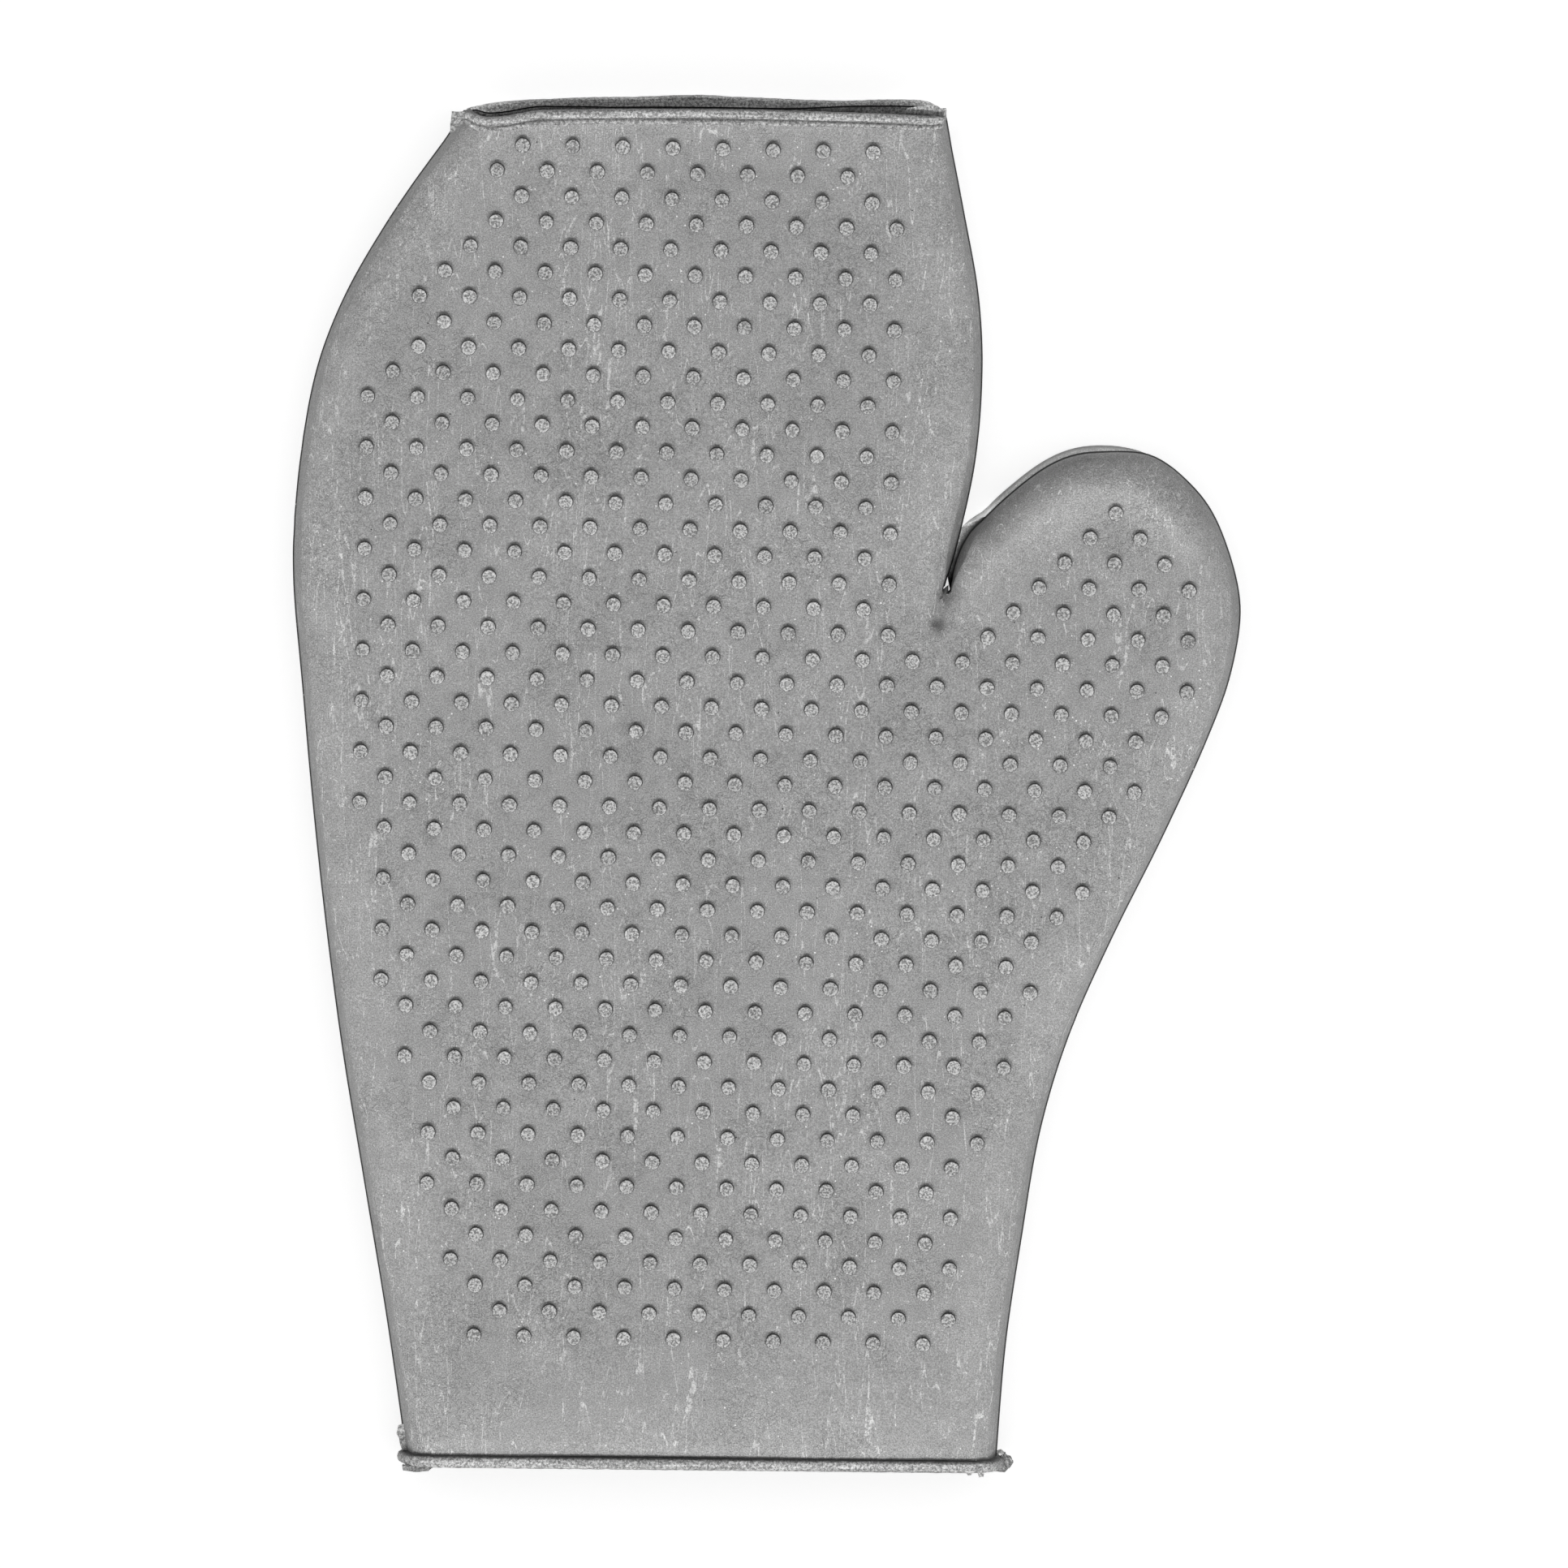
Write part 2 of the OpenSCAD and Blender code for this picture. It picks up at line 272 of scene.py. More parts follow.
def edge_section(radius=EDGE_R, angle=EDGE_ANGLE, parting=0.12, back=0.9, ledge=1.5):
    """(distance in from the outline, height) from the palm side's flat, round the edge, to the back's flat.
    parting is how far in the parting line lies, back is how far in the back's side ends, and a higher ledge makes
    the back's side stand out more squarely under the parting line."""
    front = [(parting + radius * (1 - math.sin(a)), TOP - radius * (1 - math.cos(a)))
             for a in np.linspace(0, angle, FRONT_POINTS)]
    lean, shoulder = front[-1][0] - parting, front[-1][1]
    wall = [(lean * (1 - t) ** WALL_CURVE + parting, shoulder + (MID + PARTING_HALF - shoulder) * t)
            for t in WALL_SHARES]
    ridge = [(parting - PARTING_RIDGE, MID + RIDGE_HALF), (parting - PARTING_RIDGE, MID - RIDGE_HALF)]
    low = BACK_R * (1 - math.cos(EDGE_ANGLE))
    side = [(parting + (back - parting) * t, MID - PARTING_HALF + (low - MID + PARTING_HALF) * t ** ledge)
            for t in SIDE_SHARES]
    round_back = [(back + BACK_R * (math.sin(EDGE_ANGLE) - math.sin(a)), BACK_R * (1 - math.cos(a)))
                  for a in np.linspace(EDGE_ANGLE, 0, ROUND_POINTS)]
    return np.array(front + wall + ridge + side + round_back)


SECTION = edge_section()
# Round the top of the thumb the edge is a wide quarter round, and the back half shows past it
THUMB_SECTION = edge_section(7.0, math.radians(80), parting=1.6, back=0.8, ledge=5)
# In the crotch the edge is tight
CROTCH_SECTION = edge_section(3.0, math.radians(64), parting=0.3, back=0.2)
# How far a side that faces the fingertips leans in for each millimetre down
TIP_DRAFT = 0.085
# How far the thumb's back half stands out in the notch: at the crotch, more for each millimetre up, and at most
WEB_LOW, WEB_SLOPE, WEB = 0.64, 0.145, 2.0
# How far the parting line comes back out past the top of the thumb
PARTING_BACK = 1.15


def chain_sections(chain, normal):
    """The edge's section at each point of a chain."""
    rise = chain[:, 1] - CROTCH[1]
    away = distance(chain, CROTCH)
    upper = smoothstep(0.15, 0.75, -normal[:, 1]) * smoothstep(1, 9, (chain - CROTCH) @ THUMB_OUT)
    upper *= smoothstep(-30, -5, rise)
    tight = fade(0.5, 7, away)
    sections = SECTION + (THUMB_SECTION - SECTION) * upper[:, None, None]
    sections = sections + (CROTCH_SECTION - sections) * tight[:, None, None]
    # Sides that face the fingertips lean in a little towards the back
    facing = np.clip(-normal[:, 1], 0, 1) * (1 - upper)
    sections[:, :, 0] += TIP_DRAFT * facing[:, None] * (TOP - sections[:, :, 1])
    # In the notch the thumb's back half stands out and nearly meets the fingers
    web = np.clip(WEB_LOW + WEB_SLOPE * rise, 0, WEB) * smoothstep(-0.1, 0.6, rise) * fade(9, 14, rise)
    web *= fade(13, 18, away) * (np.arange(len(chain)) < np.argmin(away))
    sections[:, BACK_HALF, 0] -= web[:, None]
    # Past the top of the thumb the parting line comes back out to the outline
    sections[:, FRONT_HALF, 0] -= (PARTING_BACK * upper * smoothstep(-0.05, 0.5, -normal[:, 0]))[:, None]
    return sections


# ---- Slight unevenness of the soft rubber ----

TIP_LENGTH = np.linalg.norm(TIP_RIGHT - TIP_LEFT)
# Depth of the tip edge's bow, and of the scoop near its left end
TIP_BOW, SCOOP = 0.9, 0.95
# Slow waves of the palm side: (size per millimetre, strength, place in the noise), and their height
WAVES = ((0.018, 1, 3.1), (0.05, 0.45, 8.3))
WAVE_HEIGHT = 0.3
# The crease that runs on from the notch: (depth, width, how much shallower at its far end), and the pit there
CREASE_START, CREASE_END = CROTCH + [0, 0.5], CROTCH + np.array([-1.6, -5.9])
CREASES = ((0.9, 0.75, 0.6), (1.0, 2.2, 0.35))
PIT_DEPTH, PIT_R = 0.9, 0.95
# How far from the tip its edge's shift reaches, and from the wrist mouth the lift of the back
TIP_REACH, LIFT_REACH = 12, 26


def tip_shift(x):
    """How far the palm side's tip edge stands from its straight line: a slight bow, and a scoop near the left end."""
    t = np.clip((np.asarray(x, float) - TIP_LEFT[0]) / (TIP_RIGHT[0] - TIP_LEFT[0]), 0, 1)
    along = t * TIP_LENGTH
    scoop = smoothstep(0.5, 4.5, along) * fade(6, 14, along)
    return TIP_BOW * np.sin(math.pi * t) ** 0.8 * smoothstep(0, 8, along) - SCOOP * scoop


def to_segment(p, a, b):
    """Each point's distance from the stretch from a to b, and the share of the way along it."""
    d = b - a
    t = np.clip(((p - a) @ d) / (d @ d), 0, 1)
    return np.linalg.norm(p - a - np.outer(t, d), axis=1), t


def settle(points):
    """Moves points of the ideal skin to where the soft rubber lies."""
    points = np.array(points, float)
    flat = points[:, :2]
    wave = np.array([sum(strength * noise.noise(Vector((x * size, y * size, place))) for size, strength, place in WAVES)
                     for x, y in flat])
    points[:, 2] += WAVE_HEIGHT * wave * smoothstep(0.25 * TOP, TOP, points[:, 2])
    away, t = to_segment(flat, CREASE_START, CREASE_END)
    crease = sum(depth * hump(away, width) * (1 - ease * t) for depth, width, ease in CREASES)
    pit = PIT_DEPTH * hump(distance(flat, CREASE_END), PIT_R)
    points[:, 2] -= (crease + pit) * smoothstep(TOP - 3, TOP - 0.5, points[:, 2])
    # The palm side's tip edge
    past = (flat - TIP_LEFT) @ TIP_UP
    share = smoothstep(-TIP_REACH, 0, past) * smoothstep(MID, TOP - 2, points[:, 2])
    points[:, :2] += TIP_UP * (tip_shift(flat[:, 0]) * share)[:, None]
    # The back lifts a little to the wrist mouth, whose bead rests on the surface
    lift = (BEAD_TOP - TOP) * fade(0, LIFT_REACH, flat[:, 1] - WRIST_LEFT[1])
    points[:, 2] += lift * fade(0, MID, points[:, 2])
    return points


# ---- Meshes ----


def linked(name, data):
    """An object in the scene with this data."""
    obj = bpy.data.objects.new(name, data)
    bpy.context.scene.collection.objects.link(obj)
    return obj


def new_object(name, vertices, faces, material):
    """A smooth mesh object from points in millimetres."""
    mesh = bpy.data.meshes.new(name)
    mesh.from_pydata([tuple(v * MM) for v in np.asarray(vertices, float)], [], faces)
    mesh.validate()
    mesh.update()
    for polygon in mesh.polygons:
        polygon.use_smooth = True
    mesh.materials.append(material)
    return linked(name, mesh)


def flood(seed, neighbours):
    """Everything that is reached from seed by going on to neighbours."""
    reached, todo = {seed}, [seed]
    while todo:
        for found in neighbours(todo.pop()):
            if found not in reached:
                reached.add(found)
                todo.append(found)
    return reached


def ring_faces(low, high, count):
    """Four-sided faces between two rings of count points that start at these indices."""
    return [(low + k, low + (k + 1) % count, high + (k + 1) % count, high + k) for k in range(count)]


def inside(points, loop):
    """Which points lie inside a closed outline."""
    hit = np.zeros(len(points), bool)
    for a, b in zip(loop, np.roll(loop, -1, 0)):
        crosses = (a[1] > points[:, 1]) != (b[1] > points[:, 1])
        if a[1] != b[1]:
            hit ^= crosses & (points[:, 0] < a[0] + (b[0] - a[0]) * (points[:, 1] - a[1]) / (b[1] - a[1]))
    return hit


def edge_distance(points, loop):
    best = np.full(len(points), 1e9)
    for a, b in zip(loop, np.roll(loop, -1, 0)):
        if np.linalg.norm(b - a) > 1e-9:
            best = np.minimum(best, to_segment(points, a, b)[0])
    return best


# Height of a row of nearly equal-sided triangles, and how clear of the loop the grid keeps, as shares of the step
ROW, CLEAR = 0.866, 0.45


def filled_sheet(loop, step, extra=()):
    """Triangles over the inside of a loop, on a staggered grid."""
    low, high = loop.min(0), loop.max(0)
    grid = np.array([(x + (k % 2) * step / 2, y) for k, y in enumerate(np.arange(low[1], high[1], step * ROW))
                     for x in np.arange(low[0], high[0], step)])
    if len(extra):
        grid = np.vstack([grid, extra])
    grid = grid[inside(grid, loop)]
    grid = grid[edge_distance(grid, loop) > CLEAR * min(step, 1.0)]
    points = [Vector(p) for p in np.vstack([loop, grid])]
    made = delaunay_2d_cdt(points, [], [list(range(len(loop)))], 1, 1e-5)
    return np.array([tuple(v) for v in made[0]]), [list(f) for f in made[2]]


def between(a, b, step):
    """Points strictly between a and b."""
    n = max(2, round(np.linalg.norm(b - a) / step))
    return [a + (b - a) * k / n for k in range(1, n)]


def crotch_points():
    """A finer grid where the crease runs on from the crotch."""
    centre = (CROTCH + CREASE_END) / 2
    return np.array([centre + (x, y) for x in np.arange(-6, 6, 0.5) for y in np.arange(-8, 5, 0.5)])


def build_skin():
    """The whole outer skin as a bmesh in millimetres, open at both mouths."""
    bm = bmesh.new()
    rings = []
    for chain, normal in (right_chain(), left_chain()):
        sections = chain_sections(chain, normal)
        rings.append(np.array([np.column_stack([chain + normal * sections[:, k, :1], sections[:, k, 1]])
                               for k in range(len(SECTION))]))
    right, left = rings
    for grid in rings:
        made = [[bm.verts.new(p) for p in ring] for ring in grid]
        for a, b in zip(made, made[1:]):
            for k in range(len(a) - 1):
                bm.faces.new((a[k], b[k], b[k + 1], a[k + 1]))
    for level, step, extra, height, flip in ((0, SHEET_STEP, crotch_points(), TOP, False),
                                             (-1, BACK_STEP, (), SECTION[-1][1], True)):
        r, l = right[level][:, :2], left[level][:, :2]
        loop = np.vstack([r, between(r[-1], l[0], step), l, between(l[-1], r[0], step)])
        points, faces = filled_sheet(loop, step, extra)
        made = [bm.verts.new((x, y, height)) for x, y in points]
        for f in faces:
            bm.faces.new([made[i] for i in (reversed(f) if flip else f)])
    bmesh.ops.remove_doubles(bm, verts=bm.verts[:], dist=WELD)
    bmesh.ops.recalc_face_normals(bm, faces=bm.faces[:])
    up = max(bm.faces, key=lambda f: f.calc_center_median().z)
    if up.normal.z < 0:
        bmesh.ops.reverse_faces(bm, faces=bm.faces[:])
    return bm


# The fingers are split from the rest at this height, just over the crotch
SPLIT_Y = CROTCH[1] + 1.6


def past_thumb_line(x, y):
    """How far a point is on the thumb's side of the line where the thumb is split from the palm."""
    return (x - CROTCH[0]) * THUMB_OUT[0] + (y - CROTCH[1]) * THUMB_OUT[1]


def cut(bm, chosen, point, normal):
    """Cuts the faces that chosen picks where they cross a plane."""
    faces = [f for f in bm.faces if chosen(f)]
    edges = {e for f in faces for e in f.edges}
    verts = {v for f in faces for v in f.verts}
    bmesh.ops.bisect_plane(bm, geom=[*verts, *edges, *faces], dist=1e-4, plane_co=point, plane_no=normal)


def part_skin(bm):
    """Cuts the skin into its three pieces, and gives the piece that each face belongs to, by its index."""
    cut(bm, lambda f: True, (0, SPLIT_Y, 0), (0, 1, 0))
    cut(bm, lambda f: f.calc_center_median().y < SPLIT_Y, (*CROTCH, 0), (*THUMB_OUT, 0))
    bm.faces.index_update()
    above = {f for f in bm.faces if f.calc_center_median().y > SPLIT_Y}
    furthest = max(above, key=lambda f: f.calc_center_median().y)
    reached = flood(furthest, lambda f: [g for e in f.edges for g in e.link_faces if g in above])
    piece = {}
    for f in bm.faces:
        c = f.calc_center_median()
        if f in above:
            piece[f.index] = "fingers" if f in reached else "thumb"
        else:
            piece[f.index] = "thumb" if past_thumb_line(c.x, c.y) > 0 else "palm"
    return piece


def rest_points(obj):
    return np.array([v.co for v in obj.data.vertices]) / MM


def store(obj, name, values):
    """Stores a number or a vector at each point, for the materials."""
    values = np.asarray(values, np.float32)
    kind, field = ("FLOAT", "value") if values.ndim == 1 else ("FLOAT_VECTOR", "vector")
    obj.data.attributes.new(name, kind, "POINT").data.foreach_set(field, values.ravel())


def keep_rest(obj):
    """Stores where each point is at rest, in millimetres, so that the finish stays put when the rubber bends."""
    store(obj, "rest_mm", rest_points(obj))


# How much paler than the rest: a painted highlight in a band inside the thumb's outline, painted light on the back half
# seen past the thumb's end and on the thumb's back half in the notch, and slightly paler towards the wrist's end. How
# much darker, by painted shade: the crease and its pit
BAND_PAINTED_HIGHLIGHT, BACK_HALF_PAINTED_LIGHT, NOTCH_PAINTED_LIGHT, WRIST_PALENESS = 0.28, 1.3, 2.0, 0.05
CREASE_PAINTED_SHADE, PIT_PAINTED_SHADE = 0.22, 0.4


def painted_light_and_paleness(points):
    """The skin's tone factor: painted highlights on the thumb's end, its back half and the notch, painted shade in the
    crease and its pit, and slightly paler towards the wrist's end.
    """
    flat, z = points[:, :2], points[:, 2]
    away = np.min(np.linalg.norm(flat[:, None] - spline(thumb_side, OUTLINE_STEP)[None], axis=2), axis=1)
    # A painted highlight: a paler band a little inside the thumb's outline
    band_painted_highlight = smoothstep(4.5, 8, away) * fade(11, 16, away)
    rise = flat[:, 1] - CROTCH[1]
    out = (flat - CROTCH) @ THUMB_OUT
    thumb_end = smoothstep(0, 14, rise) * smoothstep(2, 12, out)
    below_parting = fade(MID - PARTING_HALF, MID - 0.2, z)
    pale = 1 + BAND_PAINTED_HIGHLIGHT * band_painted_highlight * thumb_end
    # Painted light on the thumb's back half below the parting line, which lies in the palm side's shade
    pale *= 1 + BACK_HALF_PAINTED_LIGHT * thumb_end * smoothstep(MID - 4, MID - 2, z) * below_parting
    # Painted light on the thumb's back half in the notch, which lies in deep shade
    notch = smoothstep(1, 4, rise) * fade(12, 16, rise) * fade(8, 12, flat[:, 0] - CROTCH[0])
    pale *= 1 + NOTCH_PAINTED_LIGHT * notch * below_parting * (flat[:, 0] > CROTCH[0] + 0.11 * rise)
    # Painted shade in the crease and its pit
    crease_painted_shade = (CREASE_PAINTED_SHADE * hump(to_segment(flat, CROTCH, CREASE_END)[0], 1.7)
            + PIT_PAINTED_SHADE * hump(distance(flat, CREASE_END), 0.8))
    pale *= 1 - crease_painted_shade * smoothstep(TOP - 4, TOP - 2, z)
    # Slightly paler towards the wrist's end
    return pale * (1 + WRIST_PALENESS * fade(0, 16, flat[:, 1] - WRIST_LEFT[1]) * smoothstep(-6, 6, -out))


# Edges that turn more than this are sharp
SKIN_SHARP, RIM_SHARP = math.radians(55), math.radians(50)


def thicken(obj, thickness):
    """Gives an open skin its thickness, inwards."""
    solid = obj.modifiers.new("thickness", "SOLIDIFY")
    solid.thickness = thickness * MM
    solid.offset = -1
    solid.use_even_offset = False
    depsgraph = bpy.context.evaluated_depsgraph_get()
    mesh = bpy.data.meshes.new_from_object(obj.evaluated_get(depsgraph))
    obj.modifiers.clear()
    old = obj.data
    obj.data = mesh
    bpy.data.meshes.remove(old)
    obj.data.name = obj.name
    obj.data.set_sharp_from_angle(angle=SKIN_SHARP)


def make_skins(material):
    """The skin in three pieces, which meet point to point along their splits."""
    bm = build_skin()
    piece = part_skin(bm)
    bm.verts.index_update()
    rest = settle([tuple(v.co) for v in bm.verts])
    outline = np.vstack([spline(s, OUTLINE_STEP)[:-1] for s in stretches])
    made = {}
    for name in ("fingers", "palm", "thumb"):
        used, faces = {}, []
        for f in bm.faces:
            if piece[f.index] == name:
                faces.append([used.setdefault(v.index, len(used)) for v in f.verts])
        obj = new_object(f"skin_{name}", rest[list(used)], faces, material)
        points = rest_points(obj)
        store(obj, "edge_mm", edge_distance(points[:, :2], outline))
        store(obj, "painted_light_and_paleness", painted_light_and_paleness(points))
        thicken(obj, WALL)
        keep_rest(obj)
        made[name] = obj
    bm.free()
    return made


# ---- Materials ----

# Nearly all of a noise's values lie between these
NOISE_LOW, NOISE_HIGH = 0.3, 0.7


class Look:
    """A material and the nodes that make its colour, roughness and bump. Texture sizes are per millimetre."""

    def __init__(self, name):
        self.material = bpy.data.materials.new(name)
        self.material.use_nodes = True
        self.tree = self.material.node_tree
        self.shader = self.tree.nodes["Principled BSDF"]
        self.rest = self.node("ShaderNodeAttribute", attribute_name="rest_mm").outputs["Vector"]

    def node(self, kind, inputs=None, **settings):
        n = self.tree.nodes.new(kind)
        for key, value in settings.items():
            setattr(n, key, value)
        for key, value in (inputs or {}).items():
            if isinstance(value, bpy.types.NodeSocket):
                self.tree.links.new(value, n.inputs[key])
            else:
                n.inputs[key].default_value = value
        return n

    def attribute(self, name):
        return self.node("ShaderNodeAttribute", attribute_name=name).outputs["Fac"]

    def math(self, operation, *values):
        return self.node("ShaderNodeMath", dict(enumerate(values)), operation=operation).outputs[0]

    def moved(self, scale=(1, 1, 1), turn=0.0, shift=(0, 0, 0)):
        return self.node("ShaderNodeMapping", {"Vector": self.rest, "Scale": scale, "Location": shift,
                                               "Rotation": (0, 0, turn)}).outputs[0]

    def noise(self, scale, detail=3.0, rough=0.55, where=None, shift=None, warp=0.0):
        where = where or (self.moved(shift=shift) if shift else self.rest)
        return self.node("ShaderNodeTexNoise", {"Vector": where, "Scale": scale, "Detail": detail,
                                                "Roughness": rough, "Distortion": warp}).outputs["Fac"]

    def cells(self, scale, shift=(0, 0, 0)):
        return self.node("ShaderNodeTexVoronoi", {"Vector": self.moved(shift=shift),
                                                  "Scale": scale}).outputs["Distance"]

    def ramp(self, value, low, high, to_low=0.0, to_high=1.0):
        """value from low to high becomes to_low to to_high, smoothly."""
        return self.node("ShaderNodeMapRange", {"Value": value, "From Min": low, "From Max": high, "To Min": to_low,
                                                "To Max": to_high}, interpolation_type="SMOOTHSTEP").outputs[0]

    def spread(self, value, to_low, to_high):
        """The whole range of a noise becomes to_low to to_high."""
        return self.ramp(value, NOISE_LOW, NOISE_HIGH, to_low, to_high)

    def patches(self, scale, low, high, **how):
        """1 where a noise is over high, and 0 where it is under low."""
        return self.ramp(self.noise(scale, **how), low, high)

    def lines(self, scale, outer, inner, **how):
        """1 on the thin lines where a noise passes its middle."""
        off = self.math("ABSOLUTE", self.math("SUBTRACT", self.noise(scale, **how), 0.5))
        return self.ramp(off, outer, inner)

    def curve(self, value, stops):
        """A smooth run through (position, level) stops."""
        n = self.node("ShaderNodeValToRGB", {"Fac": value})
        n.color_ramp.interpolation = "EASE"
        elements = n.color_ramp.elements
        while len(elements) < len(stops):
            elements.new(0.5)
        for e, (position, level) in zip(elements, stops):
            e.position = position
            e.color = (level, level, level, 1)
        return n.outputs["Color"]

    def times(self, *factors):
        result = factors[0]
        for f in factors[1:]:
            result = self.math("MULTIPLY", result, f)
        return result

    def lighten(self, tone, mask, to):
        """tone moved to a level where mask is 1."""
        return self.math("ADD", tone, self.times(mask, self.math("SUBTRACT", to, tone)))

    def finish(self, tone, tint, rough, heights=(), bump=1.0):
        """Joins the tone, the roughness and the sum of the heights, in millimetres, to the shader."""
        colour = self.node("ShaderNodeCombineColor", {i: self.math("MULTIPLY", tone, tint[i]) for i in range(3)})
        self.tree.links.new(colour.outputs[0], self.shader.inputs["Base Color"])
        self.tree.links.new(rough, self.shader.inputs["Roughness"])
        self.shader.inputs["Specular IOR Level"].default_value = SPECULAR
        if heights:
            total = heights[0]
            for h in heights[1:]:
                total = self.math("ADD", total, h)
            n = self.node("ShaderNodeBump", {"Height": total, "Strength": bump, "Distance": MM})
            self.tree.links.new(n.outputs[0], self.shader.inputs["Normal"])
        return self.material


# The rubber's tint and tone, and the tones of dust, specks and pits
TINT = (1.0, 1.0, 0.995)
RUBBER_TONE = 0.205
DUST_TONE, SPECK_TONE, PIT_TONE = 0.7, 0.015, 0.05
SPECULAR, FLOOR_GLOW = 0.35, 0.62
# (direction, size, where, strength) of each set of scratches
SCRATCHES = [(0.5, 0.3, 5.0, 0.8), (-0.9, 0.25, 31.0, 0.75), (1.9, 0.4, 77.0, 0.6), (-0.35, 0.35, 140.0, 0.7)]
# The skin's tone by its distance in from the outline, as a share of BORDER millimetres: a dark line of painted shade at
# the silhouette, a painted highlight over the rounded edge, and slightly darker over the middle
BORDER = 14.0
EDGE_PAINTED_LIGHT_AND_SHADE = [(0.0, 0.6), (0.03, 1.04), (0.09, 1.15), (0.125, 1.14), (0.17, 1.1), (0.22, 1.05), (0.5, 1.03),
                (0.75, 0.965), (1.0, 0.955)]
# A nub's tone by the distance from its middle, as a share of NUB_SPAN millimetres: a painted highlight on the rim of
# its top, and a dark line of painted shade that rounds its top on the side wall
NUB_SPAN = 1.6
NUB_TONES_AND_PAINTED_LIGHT = [(0.0, 0.94), (0.1, 1.1), (0.26, 0.93), (0.42, 1.0), (0.67, 1.14), (0.745, 1.08), (0.775, 0.25),
             (0.8, 0.2), (0.825, 0.7), (0.88, 0.97)]


def grain(look, depth, size):
    """The fine tooth of moulded rubber: a factor near 1, and its noise for bump and roughness."""
    fine = look.noise(size, detail=4, rough=0.85)
    return look.spread(fine, 1 - depth, 1 + depth), fine


def scuffs(look, tone):
    """White dust, powdery scuffs, thin scratches, small curved marks and a few black specks."""
    pale = look.times(tone, 2.0)
    powder = look.times(look.patches(0.075, 0.46, 0.64, shift=(40, 9, 3)), look.patches(2.3, 0.55, 0.64, rough=0.8))
    result = look.lighten(tone, look.times(powder, 0.5), pale)
    dust = look.times(look.ramp(look.cells(0.6), 0.1, 0.05), look.patches(0.045, 0.42, 0.6, detail=2))
    result = look.lighten(result, look.times(dust, 0.85), DUST_TONE)
    curls = look.times(look.lines(0.42, 0.014, 0.004, detail=2, shift=(8, 2, 5), warp=1.6),
                       look.patches(0.9, 0.54, 0.62, detail=2),
                       look.patches(0.06, 0.42, 0.54, detail=2, shift=(70, 20, 0)))
    result = look.lighten(result, look.times(curls, 0.85), pale)
    for turn, size, place, strength in SCRATCHES:
        long_way = look.moved(scale=(1, 0.1, 1), turn=turn, shift=(place, place, 0))
        thin = look.lines(size, 0.008, 0.002, detail=1, where=long_way, warp=0.5)
        broken = look.patches(1.0, 0.44, 0.54, detail=2, shift=(place, 0, 0))
        patch = look.patches(0.055, 0.46, 0.56, detail=1, shift=(0, place, 0))
        result = look.lighten(result, look.times(thin, broken, patch, strength), pale)
    specks = look.times(look.ramp(look.cells(0.33, (7, 3, 1)), 0.06, 0.03),
                        look.patches(0.1, 0.53, 0.58, shift=(3, 90, 0)))
    return look.lighten(result, specks, SPECK_TONE)


def skin_material():
    """The sheets and walls: grain, slow unevenness, scuffs, and painted light and shade: a dark line at the silhouette,
    a paler rounded edge, a dark parting line, and the painted highlights and shade over the thumb and crease, with a
    slight paleness towards the wrist.
    """
    look = Look("rubber")
    fine, fine_noise = grain(look, 0.55, 4.2)
    broad = look.spread(look.noise(0.028, detail=2), 0.965, 1.035)
    uneven = look.spread(look.noise(0.35, detail=5, rough=0.7), 0.93, 1.07)
    # Painted light and shade near the outline: a dark line at the silhouette and a paler rounded edge
    edge_painted_light_and_shade = look.curve(look.math("DIVIDE", look.attribute("edge_mm"), BORDER), EDGE_PAINTED_LIGHT_AND_SHADE)
    height = look.node("ShaderNodeSeparateXYZ", {"Vector": look.rest}).outputs["Z"]
    # Painted shade: a thin dark line along the groove of the parting line
    from_parting = look.math("ABSOLUTE", look.math("SUBTRACT", height, MID + 0.2))
    parting = look.ramp(from_parting, 0.22, 0.6, 0.12, 1.0)
    tone = look.times(fine, broad, uneven, edge_painted_light_and_shade, parting, look.attribute("painted_light_and_paleness"), RUBBER_TONE)
    tone = scuffs(look, tone)
    rough = look.spread(fine_noise, 0.58, 0.78)
    wrinkles = look.times(look.lines(0.55, 0.03, 0.0, warp=1.2),
                          look.patches(0.07, 0.45, 0.6, detail=2, shift=(11, 60, 2)), 0.09)
    heights = [look.times(fine_noise, 0.09), look.times(look.noise(0.9, detail=2), 0.07),
               look.times(look.noise(0.16, detail=2), 0.2), wrinkles]
    return look.finish(tone, TINT, rough, heights, 0.8)


def nub_material():
    """The nubs: a mottled, chipped and pitted top with a painted highlight on its rim, inside a dark ring of painted
    shade.
    """
    look = Look("nub_rubber")
    fine, fine_noise = grain(look, 0.4, 4.6)
    lumps = look.noise(2.9, detail=2, rough=0.6)
    mottle = look.ramp(lumps, 0.36, 0.62, 0.48, 1.62)
    from_middle = look.attribute("nub_r")
    # Painted light and shade round each nub: a paler rim and a dark ring on its side wall
    ring = look.curve(look.math("DIVIDE", from_middle, NUB_SPAN), NUB_TONES_AND_PAINTED_LIGHT)
    tone = look.times(fine, mottle, ring, look.attribute("nub_tone"), RUBBER_TONE)
    chips = look.times(look.patches(2.6, 0.64, 0.72, detail=2, shift=(5, 8, 2)), look.ramp(from_middle, 1.0, 0.8), 0.5)
    tone = look.lighten(tone, chips, look.times(tone, 1.8))
    pits = look.times(look.patches(1.9, 0.7, 0.76, detail=2, shift=(15, 1, 7)), 0.5)
    tone = look.lighten(tone, pits, PIT_TONE)
    rough = look.spread(fine_noise, 0.55, 0.75)
    return look.finish(tone, TINT, rough, [look.times(fine_noise, 0.08), look.times(lumps, 0.25)], 0.9)


